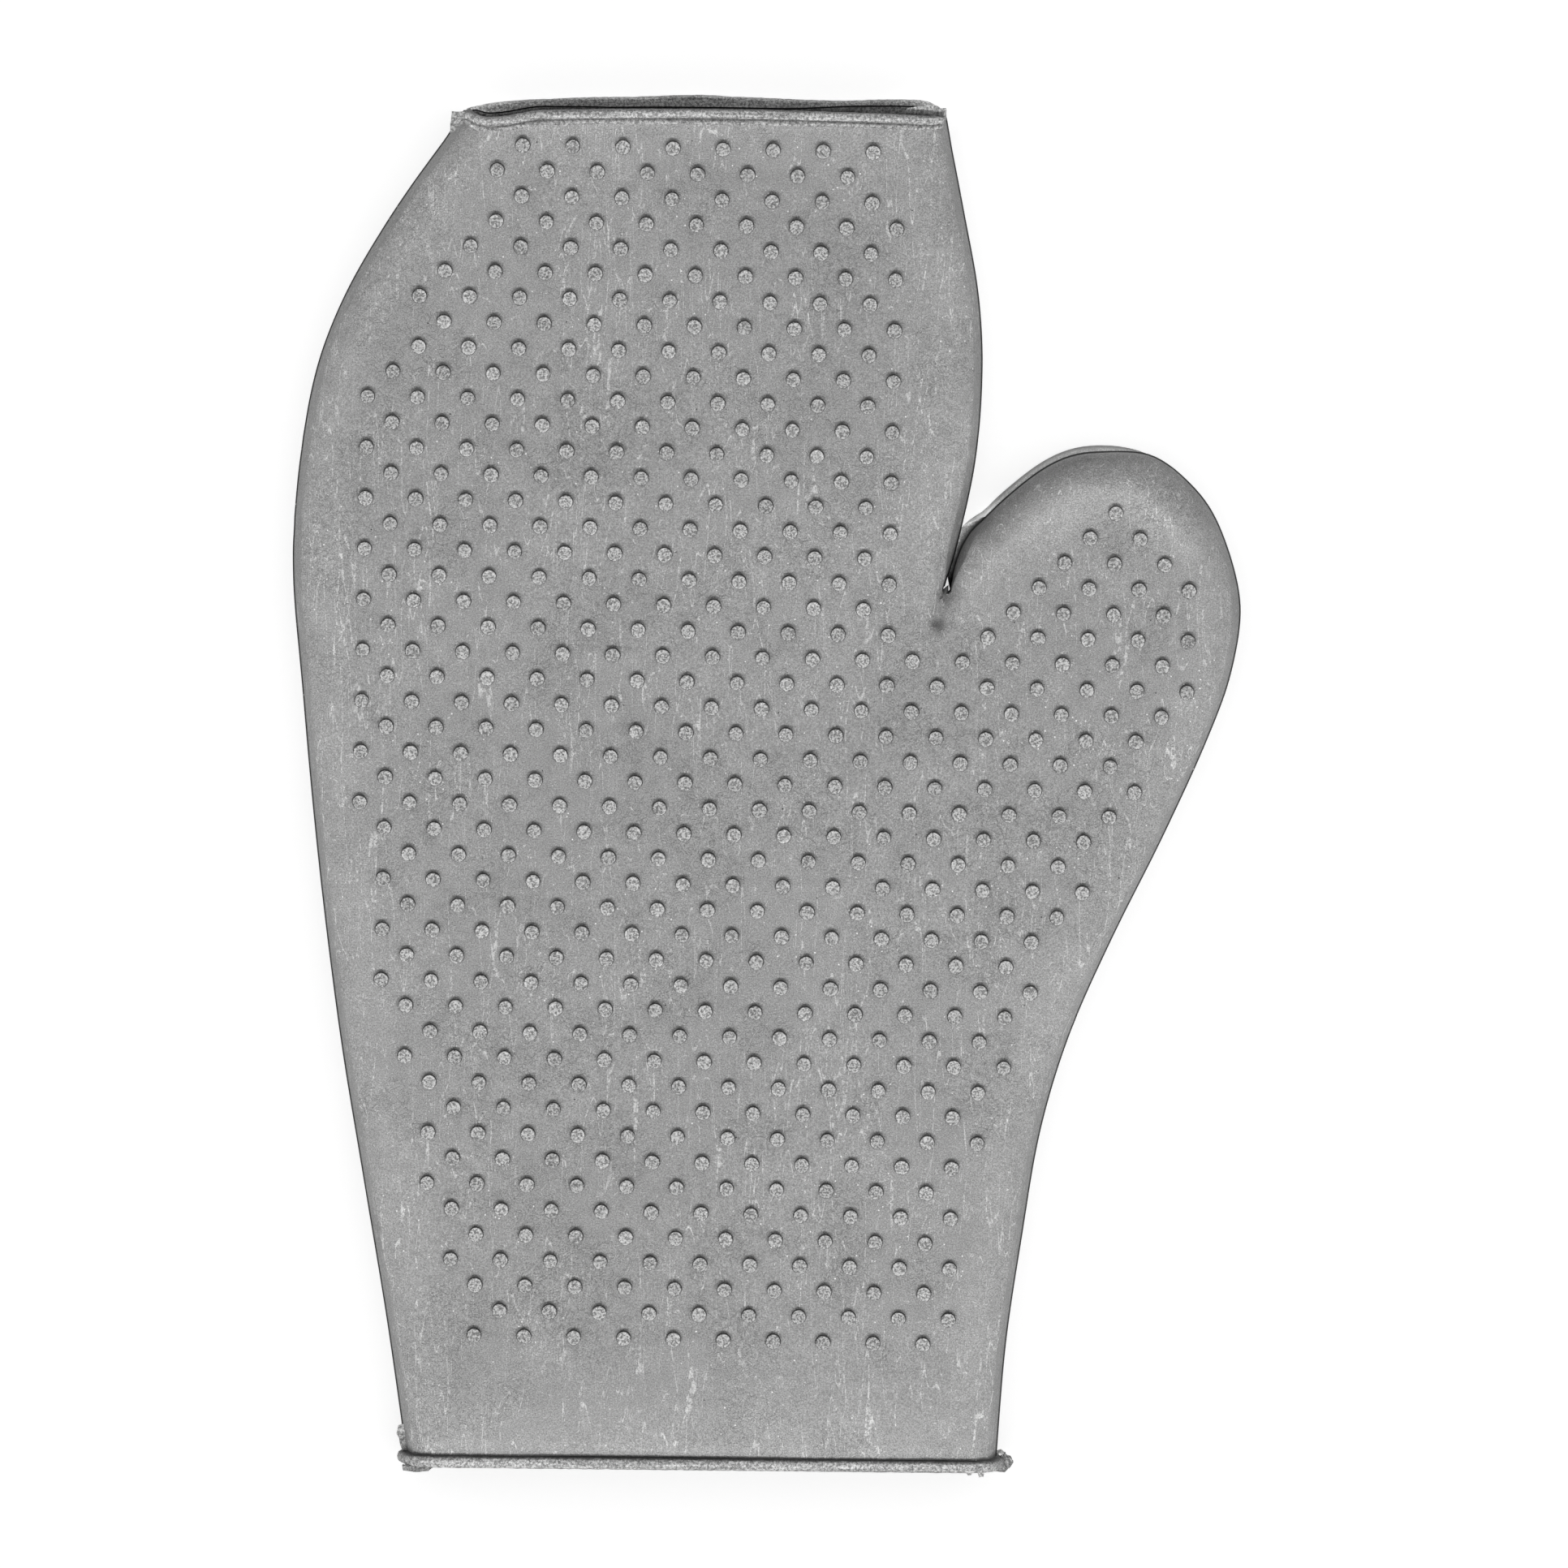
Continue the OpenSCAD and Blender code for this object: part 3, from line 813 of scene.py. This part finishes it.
def rim_material():
    """The lips, the bead and the flash: streaky along their length, stippled and powdery, with painted light and
    painted shade in each point's tone factor.
    """
    look = Look("rim_rubber")
    fine, fine_noise = grain(look, 0.45, 3.4)
    stipple = look.ramp(look.noise(2.2, rough=0.8), 0.38, 0.62, 0.5, 1.6)
    streak = look.noise(1.0, rough=0.6, where=look.moved(scale=(0.08, 2.4, 1.4)))
    streaks = look.ramp(streak, 0.34, 0.66, 0.78, 1.22)
    # Each point's tone factor holds painted light and painted shade
    tone = look.times(fine, stipple, streaks, look.attribute("tone_and_painted_light"), RUBBER_TONE)
    powder = look.times(look.patches(2.4, 0.6, 0.68, detail=2, shift=(2, 4, 1)), 0.4)
    tone = look.lighten(tone, powder, look.times(tone, 1.6))
    rough = look.spread(fine_noise, 0.6, 0.82)
    heights = [look.times(fine_noise, 0.07), look.times(streak, 0.1), look.times(look.noise(1.7), 0.08)]
    return look.finish(tone, TINT, rough, heights, 0.6)


def floor_material():
    look = Look("floor")
    soft = look.noise(3.0, detail=2, where=look.node("ShaderNodeTexCoord").outputs["Object"])
    look.shader.inputs["Emission Color"].default_value = (1, 1, 1, 1)
    look.shader.inputs["Emission Strength"].default_value = FLOOR_GLOW
    return look.finish(look.spread(soft, 0.84, 0.86), (1, 1, 1), look.ramp(soft, 0, 1, 0.8, 0.9))


rubber, nub_rubber, rim_rubber = skin_material(), nub_material(), rim_material()

# ---- Nubs ----

NUB_R, NUB_H = 1.27, NUB_TOP - TOP - 0.2
NUB_SIDES = 20
# How wide the fillet round its foot is, how deep the foot goes into the skin, and how hollow its top is
NUB_FILLET, NUB_FOOT, NUB_DISH = 0.13, 0.3, 0.03
NUB_ROUGH = 0.035
# (radius, height over the surface) from the fillet in the skin to the middle of the top
NUB_PROFILE = [(NUB_R + NUB_FILLET, -NUB_FOOT), (NUB_R + 0.1, 0.0), (NUB_R + 0.02, 0.09), (NUB_R, 0.3),
               (NUB_R - 0.01, NUB_H - 0.2), (NUB_R - 0.04, NUB_H - 0.06), (NUB_R - 0.12, NUB_H - 0.005),
               (NUB_R - 0.26, NUB_H), (0.62, NUB_H - 0.09), (0.42, NUB_H - 0.08), (0.22, NUB_H - 0.01),
               (0.1, NUB_H - 0.06)]


def nub_centres(name):
    """The middle of each nub of a CAD node, from its separate islands."""
    bm = bmesh.new()
    bm.from_mesh(frame["nodes"][name].data)
    bmesh.ops.remove_doubles(bm, verts=bm.verts[:], dist=1e-5)
    seen, centres = set(), []
    for v in bm.verts:
        if v not in seen:
            island = flood(v, lambda w: [u for e in w.link_edges for u in e.verts])
            seen |= island
            co = np.array([w.co[:2] for w in island]) / MM
            centres.append((co.min(0) + co.max(0)) / 2)
    bm.free()
    return centres


def piece_at(x, y):
    """Which skin a nub stands on."""
    if y > SPLIT_Y:
        return "fingers" if x < CROTCH[0] + 4 else "thumb"
    return "thumb" if past_thumb_line(x, y) > 0 else "palm"


NUB_NODES = ["palm_nubs", "knuckle_fold_nubs", "thumb_fold_nubs", "wrist_fold_nubs", "finger_nubs", "thumb_nubs",
             "cuff_nubs"]


def make_nubs(material):
    """Every nub, each a little different."""
    rng = random.Random(SEED)
    centres = sorted(tuple(c) for name in NUB_NODES for c in nub_centres(name))
    heights = settle([(x, y, TOP) for x, y in centres])[:, 2]
    groups = {name: ([], [], [], []) for name in ("fingers", "palm", "thumb")}
    rings = len(NUB_PROFILE)
    for (x, y), z in zip(centres, heights):
        vertices, faces, radii, tones = groups[piece_at(x, y)]
        base = len(vertices)
        size, tall, oval = rng.uniform(0.975, 1.03), rng.uniform(0.95, 1.0), rng.uniform(-0.02, 0.02)
        lean_x, lean_y = rng.uniform(-0.03, 0.03), rng.uniform(-0.03, 0.03)
        tone, turn = rng.uniform(0.98, 1.2), rng.uniform(0, math.tau)
        for r, h in NUB_PROFILE:
            for k in range(NUB_SIDES):
                a = turn + math.tau * k / NUB_SIDES
                px, py = math.cos(a) * r * size * (1 + oval), math.sin(a) * r * size * (1 - oval)
                rough = NUB_ROUGH * noise.noise(Vector((x + px * 0.9, y + py * 0.9, h * 0.7)))
                vertices.append((x + px * (1 + rough), y + py * (1 + rough),
                                 z + h * (tall if h > 0 else 1) + (px * lean_x + py * lean_y) * (h > 0.1)
                                 + 0.5 * rough * (h > 1)))
                radii.append(r)
        for cap_z, cap_r in ((z + (NUB_H - NUB_DISH) * tall, 0.0), (z - NUB_FOOT, NUB_R + NUB_FILLET)):
            vertices.append((x, y, cap_z))
            radii.append(cap_r)
        tones += [tone] * (rings * NUB_SIDES + 2)
        last, top = base + (rings - 1) * NUB_SIDES, base + rings * NUB_SIDES
        for ring in range(base, last, NUB_SIDES):
            faces += ring_faces(ring, ring + NUB_SIDES, NUB_SIDES)
        for k in range(NUB_SIDES):
            onward = (k + 1) % NUB_SIDES
            faces.append((last + k, last + onward, top))
            faces.append((base + onward, base + k, top + 1))
    made = {}
    for name, (vertices, faces, radii, tones) in groups.items():
        obj = new_object(f"nubs_{name}", vertices, faces, material)
        keep_rest(obj)
        store(obj, "nub_r", radii)
        store(obj, "nub_tone", tones)
        made[name] = obj
    return made


# ---- Rims ----


def evenly(corners, step):
    """Points about a step apart round a closed outline, as a list."""
    fine = []
    for a, b in zip(corners, np.roll(corners, -1, 0)):
        n = max(1, round(np.linalg.norm(b - a) / step))
        fine += [a + (b - a) * k / n for k in range(n)]
    return fine


def sweep(name, path, side, up, profile, material, rough, tone_and_painted_light, closed=False):
    """A solid along a path. side and up, the two axes of its section, and profile, the section, are either one for
    the whole path or one for each of its points. rough is how uneven it is, and the tone factor how pale each point is,
    with painted light and painted shade."""
    path, side, up = (np.broadcast_to(np.asarray(a, float), np.shape(path)) for a in (path, side, up))
    sections = profile if isinstance(profile[0][0], tuple) else [profile] * len(path)
    n, m = len(path), len(sections[0])
    vertices = np.array([p + s * a + u * b for p, s, u, section in zip(path, side, up, sections) for a, b in section])
    middles = vertices.reshape(n, m, 3).mean(1)
    for i, v in enumerate(vertices):
        away = unit(v - middles[i // m])
        shake = noise.noise(Vector(v * 1.1)) + 0.6 * noise.noise(Vector(v * 2.7) + Vector((9, 0, 0)))
        vertices[i] = v + away * rough * shake
    faces = []
    for i in range(n if closed else n - 1):
        faces += ring_faces(i * m, (i + 1) % n * m, m)
    if not closed:
        faces += [tuple(range(m - 1, -1, -1)), tuple(range((n - 1) * m, n * m))]
    obj = new_object(name, vertices, faces, material)
    bm = bmesh.new()
    bm.from_mesh(obj.data)
    bmesh.ops.recalc_face_normals(bm, faces=bm.faces[:])
    bm.to_mesh(obj.data)
    bm.free()
    obj.data.set_sharp_from_angle(angle=RIM_SHARP)
    keep_rest(obj)
    store(obj, "tone_and_painted_light", np.broadcast_to(tone_and_painted_light, (n, m)).ravel())
    return obj


# Both lips stop this share of the tip short of its corners
LIP_END = 0.004
FRONT_LIP_POINTS, BACK_LIP_POINTS = 191, 171


def tip_point(t):
    """A point of the palm side's tip edge, t of the way from its left end."""
    p = TIP_LEFT + (TIP_RIGHT - TIP_LEFT) * t
    return np.array([*(p + TIP_UP * tip_shift(p[0])), 0.0])


def make_front_lip(material):
    """The bead along the palm side's tip edge, with a groove and a second faint ridge behind it."""
    height = LIP_TOP - TOP
    section = [(0.02, -1.7), (0.1, -0.9), (0.06, 0.1), (-0.06, height - 0.28), (-0.3, height - 0.06), (-0.7, height),
               (-1.1, height - 0.05), (-1.38, height - 0.3), (-1.5, 0.14), (-1.62, 0.03), (-1.78, 0.04),
               (-1.95, 0.16), (-2.25, 0.17), (-2.5, 0.05), (-2.65, -0.25), (-2.6, -1.2)]
    path, side, sections = [], [], []
    for t in np.linspace(LIP_END, 1 - LIP_END, FRONT_LIP_POINTS):
        p = tip_point(t)
        p[2] = settle([(p[0], p[1], TOP)])[0][2]
        path.append(p)
        ahead = unit(tip_point(min(t + 0.01, 1)) - tip_point(max(t - 0.01, 0)))
        side.append((-ahead[1], ahead[0], 0))
        # It is lower and narrower at both ends
        full = smoothstep(0, 0.035, t) * smoothstep(0, 0.03, 1 - t)
        low, narrow = 0.35 + 0.65 * full, 0.7 + 0.3 * full
        sections.append([(a * narrow, b * low if b > 0 else b) for a, b in section])
    # Painted light and shade over the section: dark on the outer face below the bead and in the groove behind it, with
    # a painted highlight on the bead's top
    tones = [0.2, 0.4, 0.85] + [1.16] * 5 + [0.45, 0.3, 0.6, 1.0, 1.05, 1.0, 0.9, 0.9]
    return sweep("finger_lip_front", path, side, (0, 0, 1), sections, material, rough=0.07, tone_and_painted_light=tones)


# How much of the back lip the palm side's edge hides, and how far past that the dark slit is
LIP_HIDDEN, SLIT = 1.1, 0.52
# (share of the way along the tip, how far the back lip stands out there)
LIP_BOW = [(0, -0.2), (0.02, 0.3), (0.06, 0.95), (0.14, 1.65), (0.26, 2.0), (0.5, 2.65), (0.68, 2.0), (0.8, 1.9),
           (0.94, 2.25), (0.968, 2.05), (0.985, 1.3), (1, -0.2)]
BOW_WAVE = 0.05
SEAM_GAP = 0.2


def bow_out(t):
    """How far the back lip stands out beyond the tip line: LIP_BOW, smoothed away from its ends."""
    sharp, *nearby = (np.interp(t + d, *zip(*LIP_BOW)) for d in (0, -0.02, -0.01, 0, 0.01, 0.02))
    room = min(1.0, 50 * min(t, 1 - t))
    return sharp * (1 - room) + sum(nearby) / len(nearby) * room + BOW_WAVE * math.sin(31 * t)


def make_back_lip(material):
    """The back's lip, which bows out past the tip. A wavy line of flash, the seam, runs along its face."""
    path, sections, tone_and_painted_light = [], [], []
    thick = BACK_LIP_TOP
    for t in np.linspace(LIP_END, 1 - LIP_END, BACK_LIP_POINTS):
        p = TIP_LEFT + (TIP_RIGHT - TIP_LEFT) * t
        bow = bow_out(t)
        path.append((*p, 0))
        wave = 0.35 * math.sin(t * 21) + 0.25 * math.sin(t * 47 + 2)
        rim = tip_shift(p[0]) - LIP_HIDDEN
        slit = rim + SLIT
        above = 0.5 + 0.6 * fade(0.1, 0.45, t) + 1.3 * smoothstep(0.6, 0.9, t)
        seam = min(bow - 0.6, max(slit + SEAM_GAP, rim + above + 0.1 * wave))
        slit = min(slit, seam - SEAM_GAP)
        sections.append([(-3.2, 0.12), (bow * 0.6 - 0.4, 0.0), (bow - 0.45, 0.1), (bow - 0.1, 0.5), (bow, 1.1),
                         (bow - 0.06, 1.7), (bow - 0.22, 2.25), (bow - 0.4, 2.6), (seam + 0.16, thick - 0.2),
                         (seam + 0.07, 2.2), (seam - 0.06, 2.18), (seam - 0.14, thick - 0.12), (slit, thick - 0.2),
                         (slit - 0.12, thick - 0.4), (min(-1.9, slit - 0.3), 2.1), (-3.2, 1.8)])
        # Painted light: the lip's outer faces lie in the palm side's shadow and are painted paler, more so at the ends;
        # painted shade darkens the seam's groove and the slit
        end = smoothstep(0.86, 0.96, t) + fade(0.03, 0.13, t)
        outer = 1.5 + 1.3 * end
        tone_and_painted_light.append([outer] * 8 + [outer * 0.9, 0.1, 0.1, 1.0 + 0.8 * end, 0.7, 0.06, 0.06, 0.06])
    return sweep("finger_lip_back", path, (*TIP_UP, 0), (0, 0, 1), sections, material, rough=0.06, tone_and_painted_light=tone_and_painted_light)


RING_STEP = 0.6


def mouth_ring():
    """Points round the wrist mouth's outer surface, in order, with their outward directions."""
    (right, right_in), (left, left_in) = right_chain(), left_chain()
    ring = [(*(right[0] + right_in[0] * inset), z) for inset, z in SECTION]
    ring += [(*(left[-1] + left_in[-1] * inset), z) for inset, z in reversed(SECTION)]
    origin = np.array([*WRIST_LEFT, 0])
    along = np.array([*WRIST_DIR, 0])
    fine = np.array(evenly(np.array([((p - origin) @ along, p[2]) for p in settle(ring)]), RING_STEP))
    kernel = np.array([1, 2, 3, 2, 1]) / 9
    smooth = sum(w * np.roll(fine, s, 0) for w, s in zip(kernel, (-2, -1, 0, 1, 2)))
    tangent = np.roll(smooth, -2, 0) - np.roll(smooth, 2, 0)
    outward = unit_rows(np.column_stack([tangent[:, 1], -tangent[:, 0]]))
    if (outward * (smooth - smooth.mean(0))).sum() < 0:
        outward = -outward
    return (np.array([origin + along * u + np.array([0, 0, z]) for u, z in smooth]),
            np.array([along * a + np.array([0, 0, b]) for a, b in outward]))


def make_wrist_bead(material):
    """The rolled bead round the wrist mouth. Its section is (outward, past the mouth)."""
    proud = BEAD_TOP - TOP
    path, outward = mouth_ring()
    down = (WRIST_DIR[1], -WRIST_DIR[0], 0)
    section = [(-1.85, -0.5), (-1.85, 0.9), (-1.6, 1.65), (-1.0, 2.02), (-0.1, 2.1), (0.6, 2.1), (1.08, 2.0),
               (proud - 0.15, 1.78), (proud - 0.03, 1.42), (proud, 1.0), (proud - 0.03, 0.62), (proud - 0.16, 0.3),
               (1.0, 0.1), (0.55, 0.0), (0.0, -0.05), (-0.4, -0.5)]
    # Painted light and shade over the section: a painted highlight on the bead's top and a dark band of painted shade
    # on its side towards the mitt
    tones = [0.7] * 5 + [0.8, 0.95, 1.08, 1.14, 1.14, 1.05, 0.75, 0.3, 0.15, 0.15, 0.3]
    return sweep("wrist_bead", path, outward, down, section, material, rough=0.08, tone_and_painted_light=tones, closed=True)


# Spacing and raggedness of the flash's outline, the spacing of its points, and its thickness
RAG_STEP, RAG = 0.45, 0.09
FLASH_STEP, FLASH_THICK = 0.3, 0.6
FLASH_CURL = 0.12
RIB_PITCH, RIB_SHADE = 0.8, 1.6


def ragged(corners):
    """A ragged outline through given corners."""
    return np.array([p + RAG * np.array([noise.noise(Vector((*p * 2.3, place))) for place in (4, 11)])
                     for p in evenly(np.array(corners, float), RAG_STEP)])


def make_flash(name, plates, material):
    """Thin rags of rubber left where the mould's halves met. Each is (corners, height, paleness that is partly painted
    light, depth of its ribs); the ribs' troughs are darkened by painted shade.
    """
    vertices, faces, tone_and_painted_light = [], [], []
    for corners, z, pale, ribs in plates:
        points, found = filled_sheet(ragged(corners), FLASH_STEP)
        base = len(vertices)
        for x, y in points:
            curl = FLASH_CURL * noise.noise(Vector((x * 0.8, y * 0.8, z)))
            rib = math.sin(math.tau * (x + 0.25 * y) / RIB_PITCH)
            vertices.append((x, y, z + FLASH_THICK / 2 + curl + ribs * rib))
            tone_and_painted_light.append(pale * (1 - RIB_SHADE * ribs * (1 - rib)))
        faces += [[base + i for i in f] for f in found]
    obj = new_object(name, vertices, faces, material)
    if obj.data.polygons[0].normal.z < 0:
        obj.data.flip_normals()
    store(obj, "tone_and_painted_light", tone_and_painted_light)
    thicken(obj, FLASH_THICK)
    keep_rest(obj)
    return obj


def near(corner, *offsets):
    return [tuple(corner + np.array(o)) for o in offsets]


# Each plate's third number is its paleness, partly painted light for plates that lie in shade
def finger_flash_plates():
    return [(near(TIP_LEFT, (0.9, -0.1), (0.2, 0.1), (-2.05, 0.15), (-2.15, -1.0), (-2.35, -2.4), (-2.3, -3.5),
                  (-1.9, -3.4), (-0.4, -2.2)), TOP - 1.4, 0.92, 0.0),
            (near(TIP_RIGHT, (-6.6, 1.5), (-4.8, 1.9), (-2.8, 2.1), (-1.2, 1.7), (-1.1, 1.5), (0.1, 1.5), (0.1, -0.6),
                  (-1.2, -0.4), (-1.6, 0.2), (-2.8, 0.55), (-5.4, 0.85), (-7.2, 0.95)), TOP - 1.5, 1.1, 0.0)]


def wrist_flash_plates():
    low = node_box("wrist_flash")[1][2] - FLASH_THICK / 2
    return [(near(WRIST_LEFT, (0.9, 4.8), (-0.3, 4.7), (-1.35, 4.3), (-1.65, 3.0), (-1.15, 2.2), (-0.9, 0.8),
                  (-0.6, -0.2), (1.0, -0.2)), MID + 1, 1.1, 0.0),
            (near(WRIST_LEFT, (-0.6, -1.9), (5.2, -2.0), (4.0, -2.9), (2.0, -3.1), (-0.4, -2.8)), low, 0.8, 0.1),
            (near(WRIST_RIGHT, (-0.6, 0.1), (0.9, 0.4), (1.7, -0.2), (1.2, -1.6), (-0.6, -1.9)), 2.0, 2.0, 0.0),
            (near(WRIST_RIGHT, (-0.6, -0.9), (0.6, -0.2), (1.6, 0.6), (3.0, -0.7), (2.6, -1.7), (1.5, -2.8),
                  (-0.6, -2.6)), MID + 0.4, 1.1, 0.18),
            (near(WRIST_RIGHT, (-5.2, -1.9), (-4.2, -1.8), (-4.3, -2.5), (-4.9, -2.6)), low, 1.2, 0.0),
            (near(WRIST_RIGHT, (-3.4, -1.9), (-2.0, -1.8), (-2.3, -2.8), (-3.0, -2.9)), low, 1.2, 0.0)]


# ---- Pieces ----

nubs = make_nubs(nub_rubber)
skins = make_skins(rubber)
front_lip, back_lip = make_front_lip(rim_rubber), make_back_lip(rim_rubber)
bead = make_wrist_bead(rim_rubber)
finger_flash = make_flash("finger_flash_tabs", finger_flash_plates(), rim_rubber)
wrist_flash = make_flash("wrist_flash_tabs", wrist_flash_plates(), rim_rubber)

# (piece, its material slot, the CAD nodes that it stands for)
PIECES = [
    (skins["fingers"], "rubber", "finger_front_panel finger_back_panel finger_outer_wall finger_index_wall "
                                 "knuckle_fold"),
    (skins["palm"], "rubber", "palm_front_panel palm_back_panel palm_outer_wall heel_wall crotch_wall wrist_fold "
                              "cuff_front_panel cuff_back_panel cuff_outer_wall cuff_thumb_wall"),
    (skins["thumb"], "rubber", "thumb_front_panel thumb_back_panel thumb_wall thumb_fold"),
    (nubs["fingers"], "nub_rubber", "finger_nubs knuckle_fold_nubs"),
    (nubs["palm"], "nub_rubber", "palm_nubs wrist_fold_nubs cuff_nubs"),
    (nubs["thumb"], "nub_rubber", "thumb_nubs thumb_fold_nubs"),
    (front_lip, "rim_rubber", "finger_front_lip"),
    (back_lip, "rim_rubber", "finger_back_lip"),
    (finger_flash, "rim_rubber", "finger_flash"),
    (bead, "rim_rubber", "wrist_bead_front wrist_bead_back"),
    (wrist_flash, "rim_rubber", "wrist_flash"),
]
for piece, slot, nodes in PIECES:
    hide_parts(*nodes.split())
for piece in (front_lip, back_lip, finger_flash):
    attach(piece, "fingers")
for piece in (bead, wrist_flash):
    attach(piece, "cuff")


for group in (skins, nubs):
    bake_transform(group["fingers"])
    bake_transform(group["palm"])
    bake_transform(group["thumb"])

# ---- Floor, light and camera ----

FLOOR_HALF, FLOOR_GAP = 20.0, 0.0004
# (direction, distance, size, power) of each lamp. The key is a long lamp at the wrist's side, wider than the mitt
KEY = ((0.0, -0.46, 0.89), 2.6, (2.4, 0.45), 92)
FILL = ((0.1, 0.1, 1), 2.2, (2.4, 2.4), 8)
AMBIENT = 0.42

# What the camera is centred on and how wide its view is there, in millimetres, and its distance in metres
VIEW_CENTRE = (3.03, 0.47)
VIEW_WIDTH = 271.4
CAMERA_DISTANCE = 4.0
CAMERA_LEAN = math.radians(5)
FAR_END = 50


def make_floor():
    mesh = bpy.data.meshes.new("floor")
    half = FLOOR_HALF
    mesh.from_pydata([(-half, -half, 0), (half, -half, 0), (half, half, 0), (-half, half, 0)], [], [(0, 1, 2, 3)])
    mesh.materials.append(floor_material())
    floor = linked("floor", mesh)
    floor.location.z = -FLOOR_GAP


def area_light(name, direction, distance, size, power):
    data = bpy.data.lights.new(name, "AREA")
    data.shape = "RECTANGLE"
    data.size, data.size_y = size
    data.energy = power
    light = linked(name, data)
    away = Vector(direction).normalized()
    light.location = away * distance
    light.rotation_euler = away.to_track_quat("Z", "Y").to_euler()
    return light


def make_lights():
    """The key lights the mitt alone, so that the floor stays even."""
    lit = bpy.data.collections.new("lit_by_key")
    for piece, _, _ in PIECES:
        lit.objects.link(piece)
    area_light("key", *KEY).light_linking.receiver_collection = lit
    area_light("fill", *FILL)
    world = bpy.data.worlds.new("studio")
    world.use_nodes = True
    background = world.node_tree.nodes["Background"].inputs
    background["Color"].default_value = (1, 1, 1, 1)
    background["Strength"].default_value = AMBIENT
    bpy.context.scene.world = world


def make_camera():
    """Almost straight above, with a little of the fingertip end's side in view."""
    data = bpy.data.cameras.new("camera")
    data.lens = data.sensor_width * CAMERA_DISTANCE / (VIEW_WIDTH * MM)
    data.clip_end = FAR_END
    camera = linked("camera", data)
    camera.location = (VIEW_CENTRE[0] * MM, VIEW_CENTRE[1] * MM + CAMERA_DISTANCE * math.sin(CAMERA_LEAN),
                       TOP * MM + CAMERA_DISTANCE * math.cos(CAMERA_LEAN))
    camera.rotation_euler.x = -CAMERA_LEAN
    bpy.context.scene.camera = camera


make_floor()
make_lights()
make_camera()
bpy.context.scene.view_settings.view_transform = "Standard"
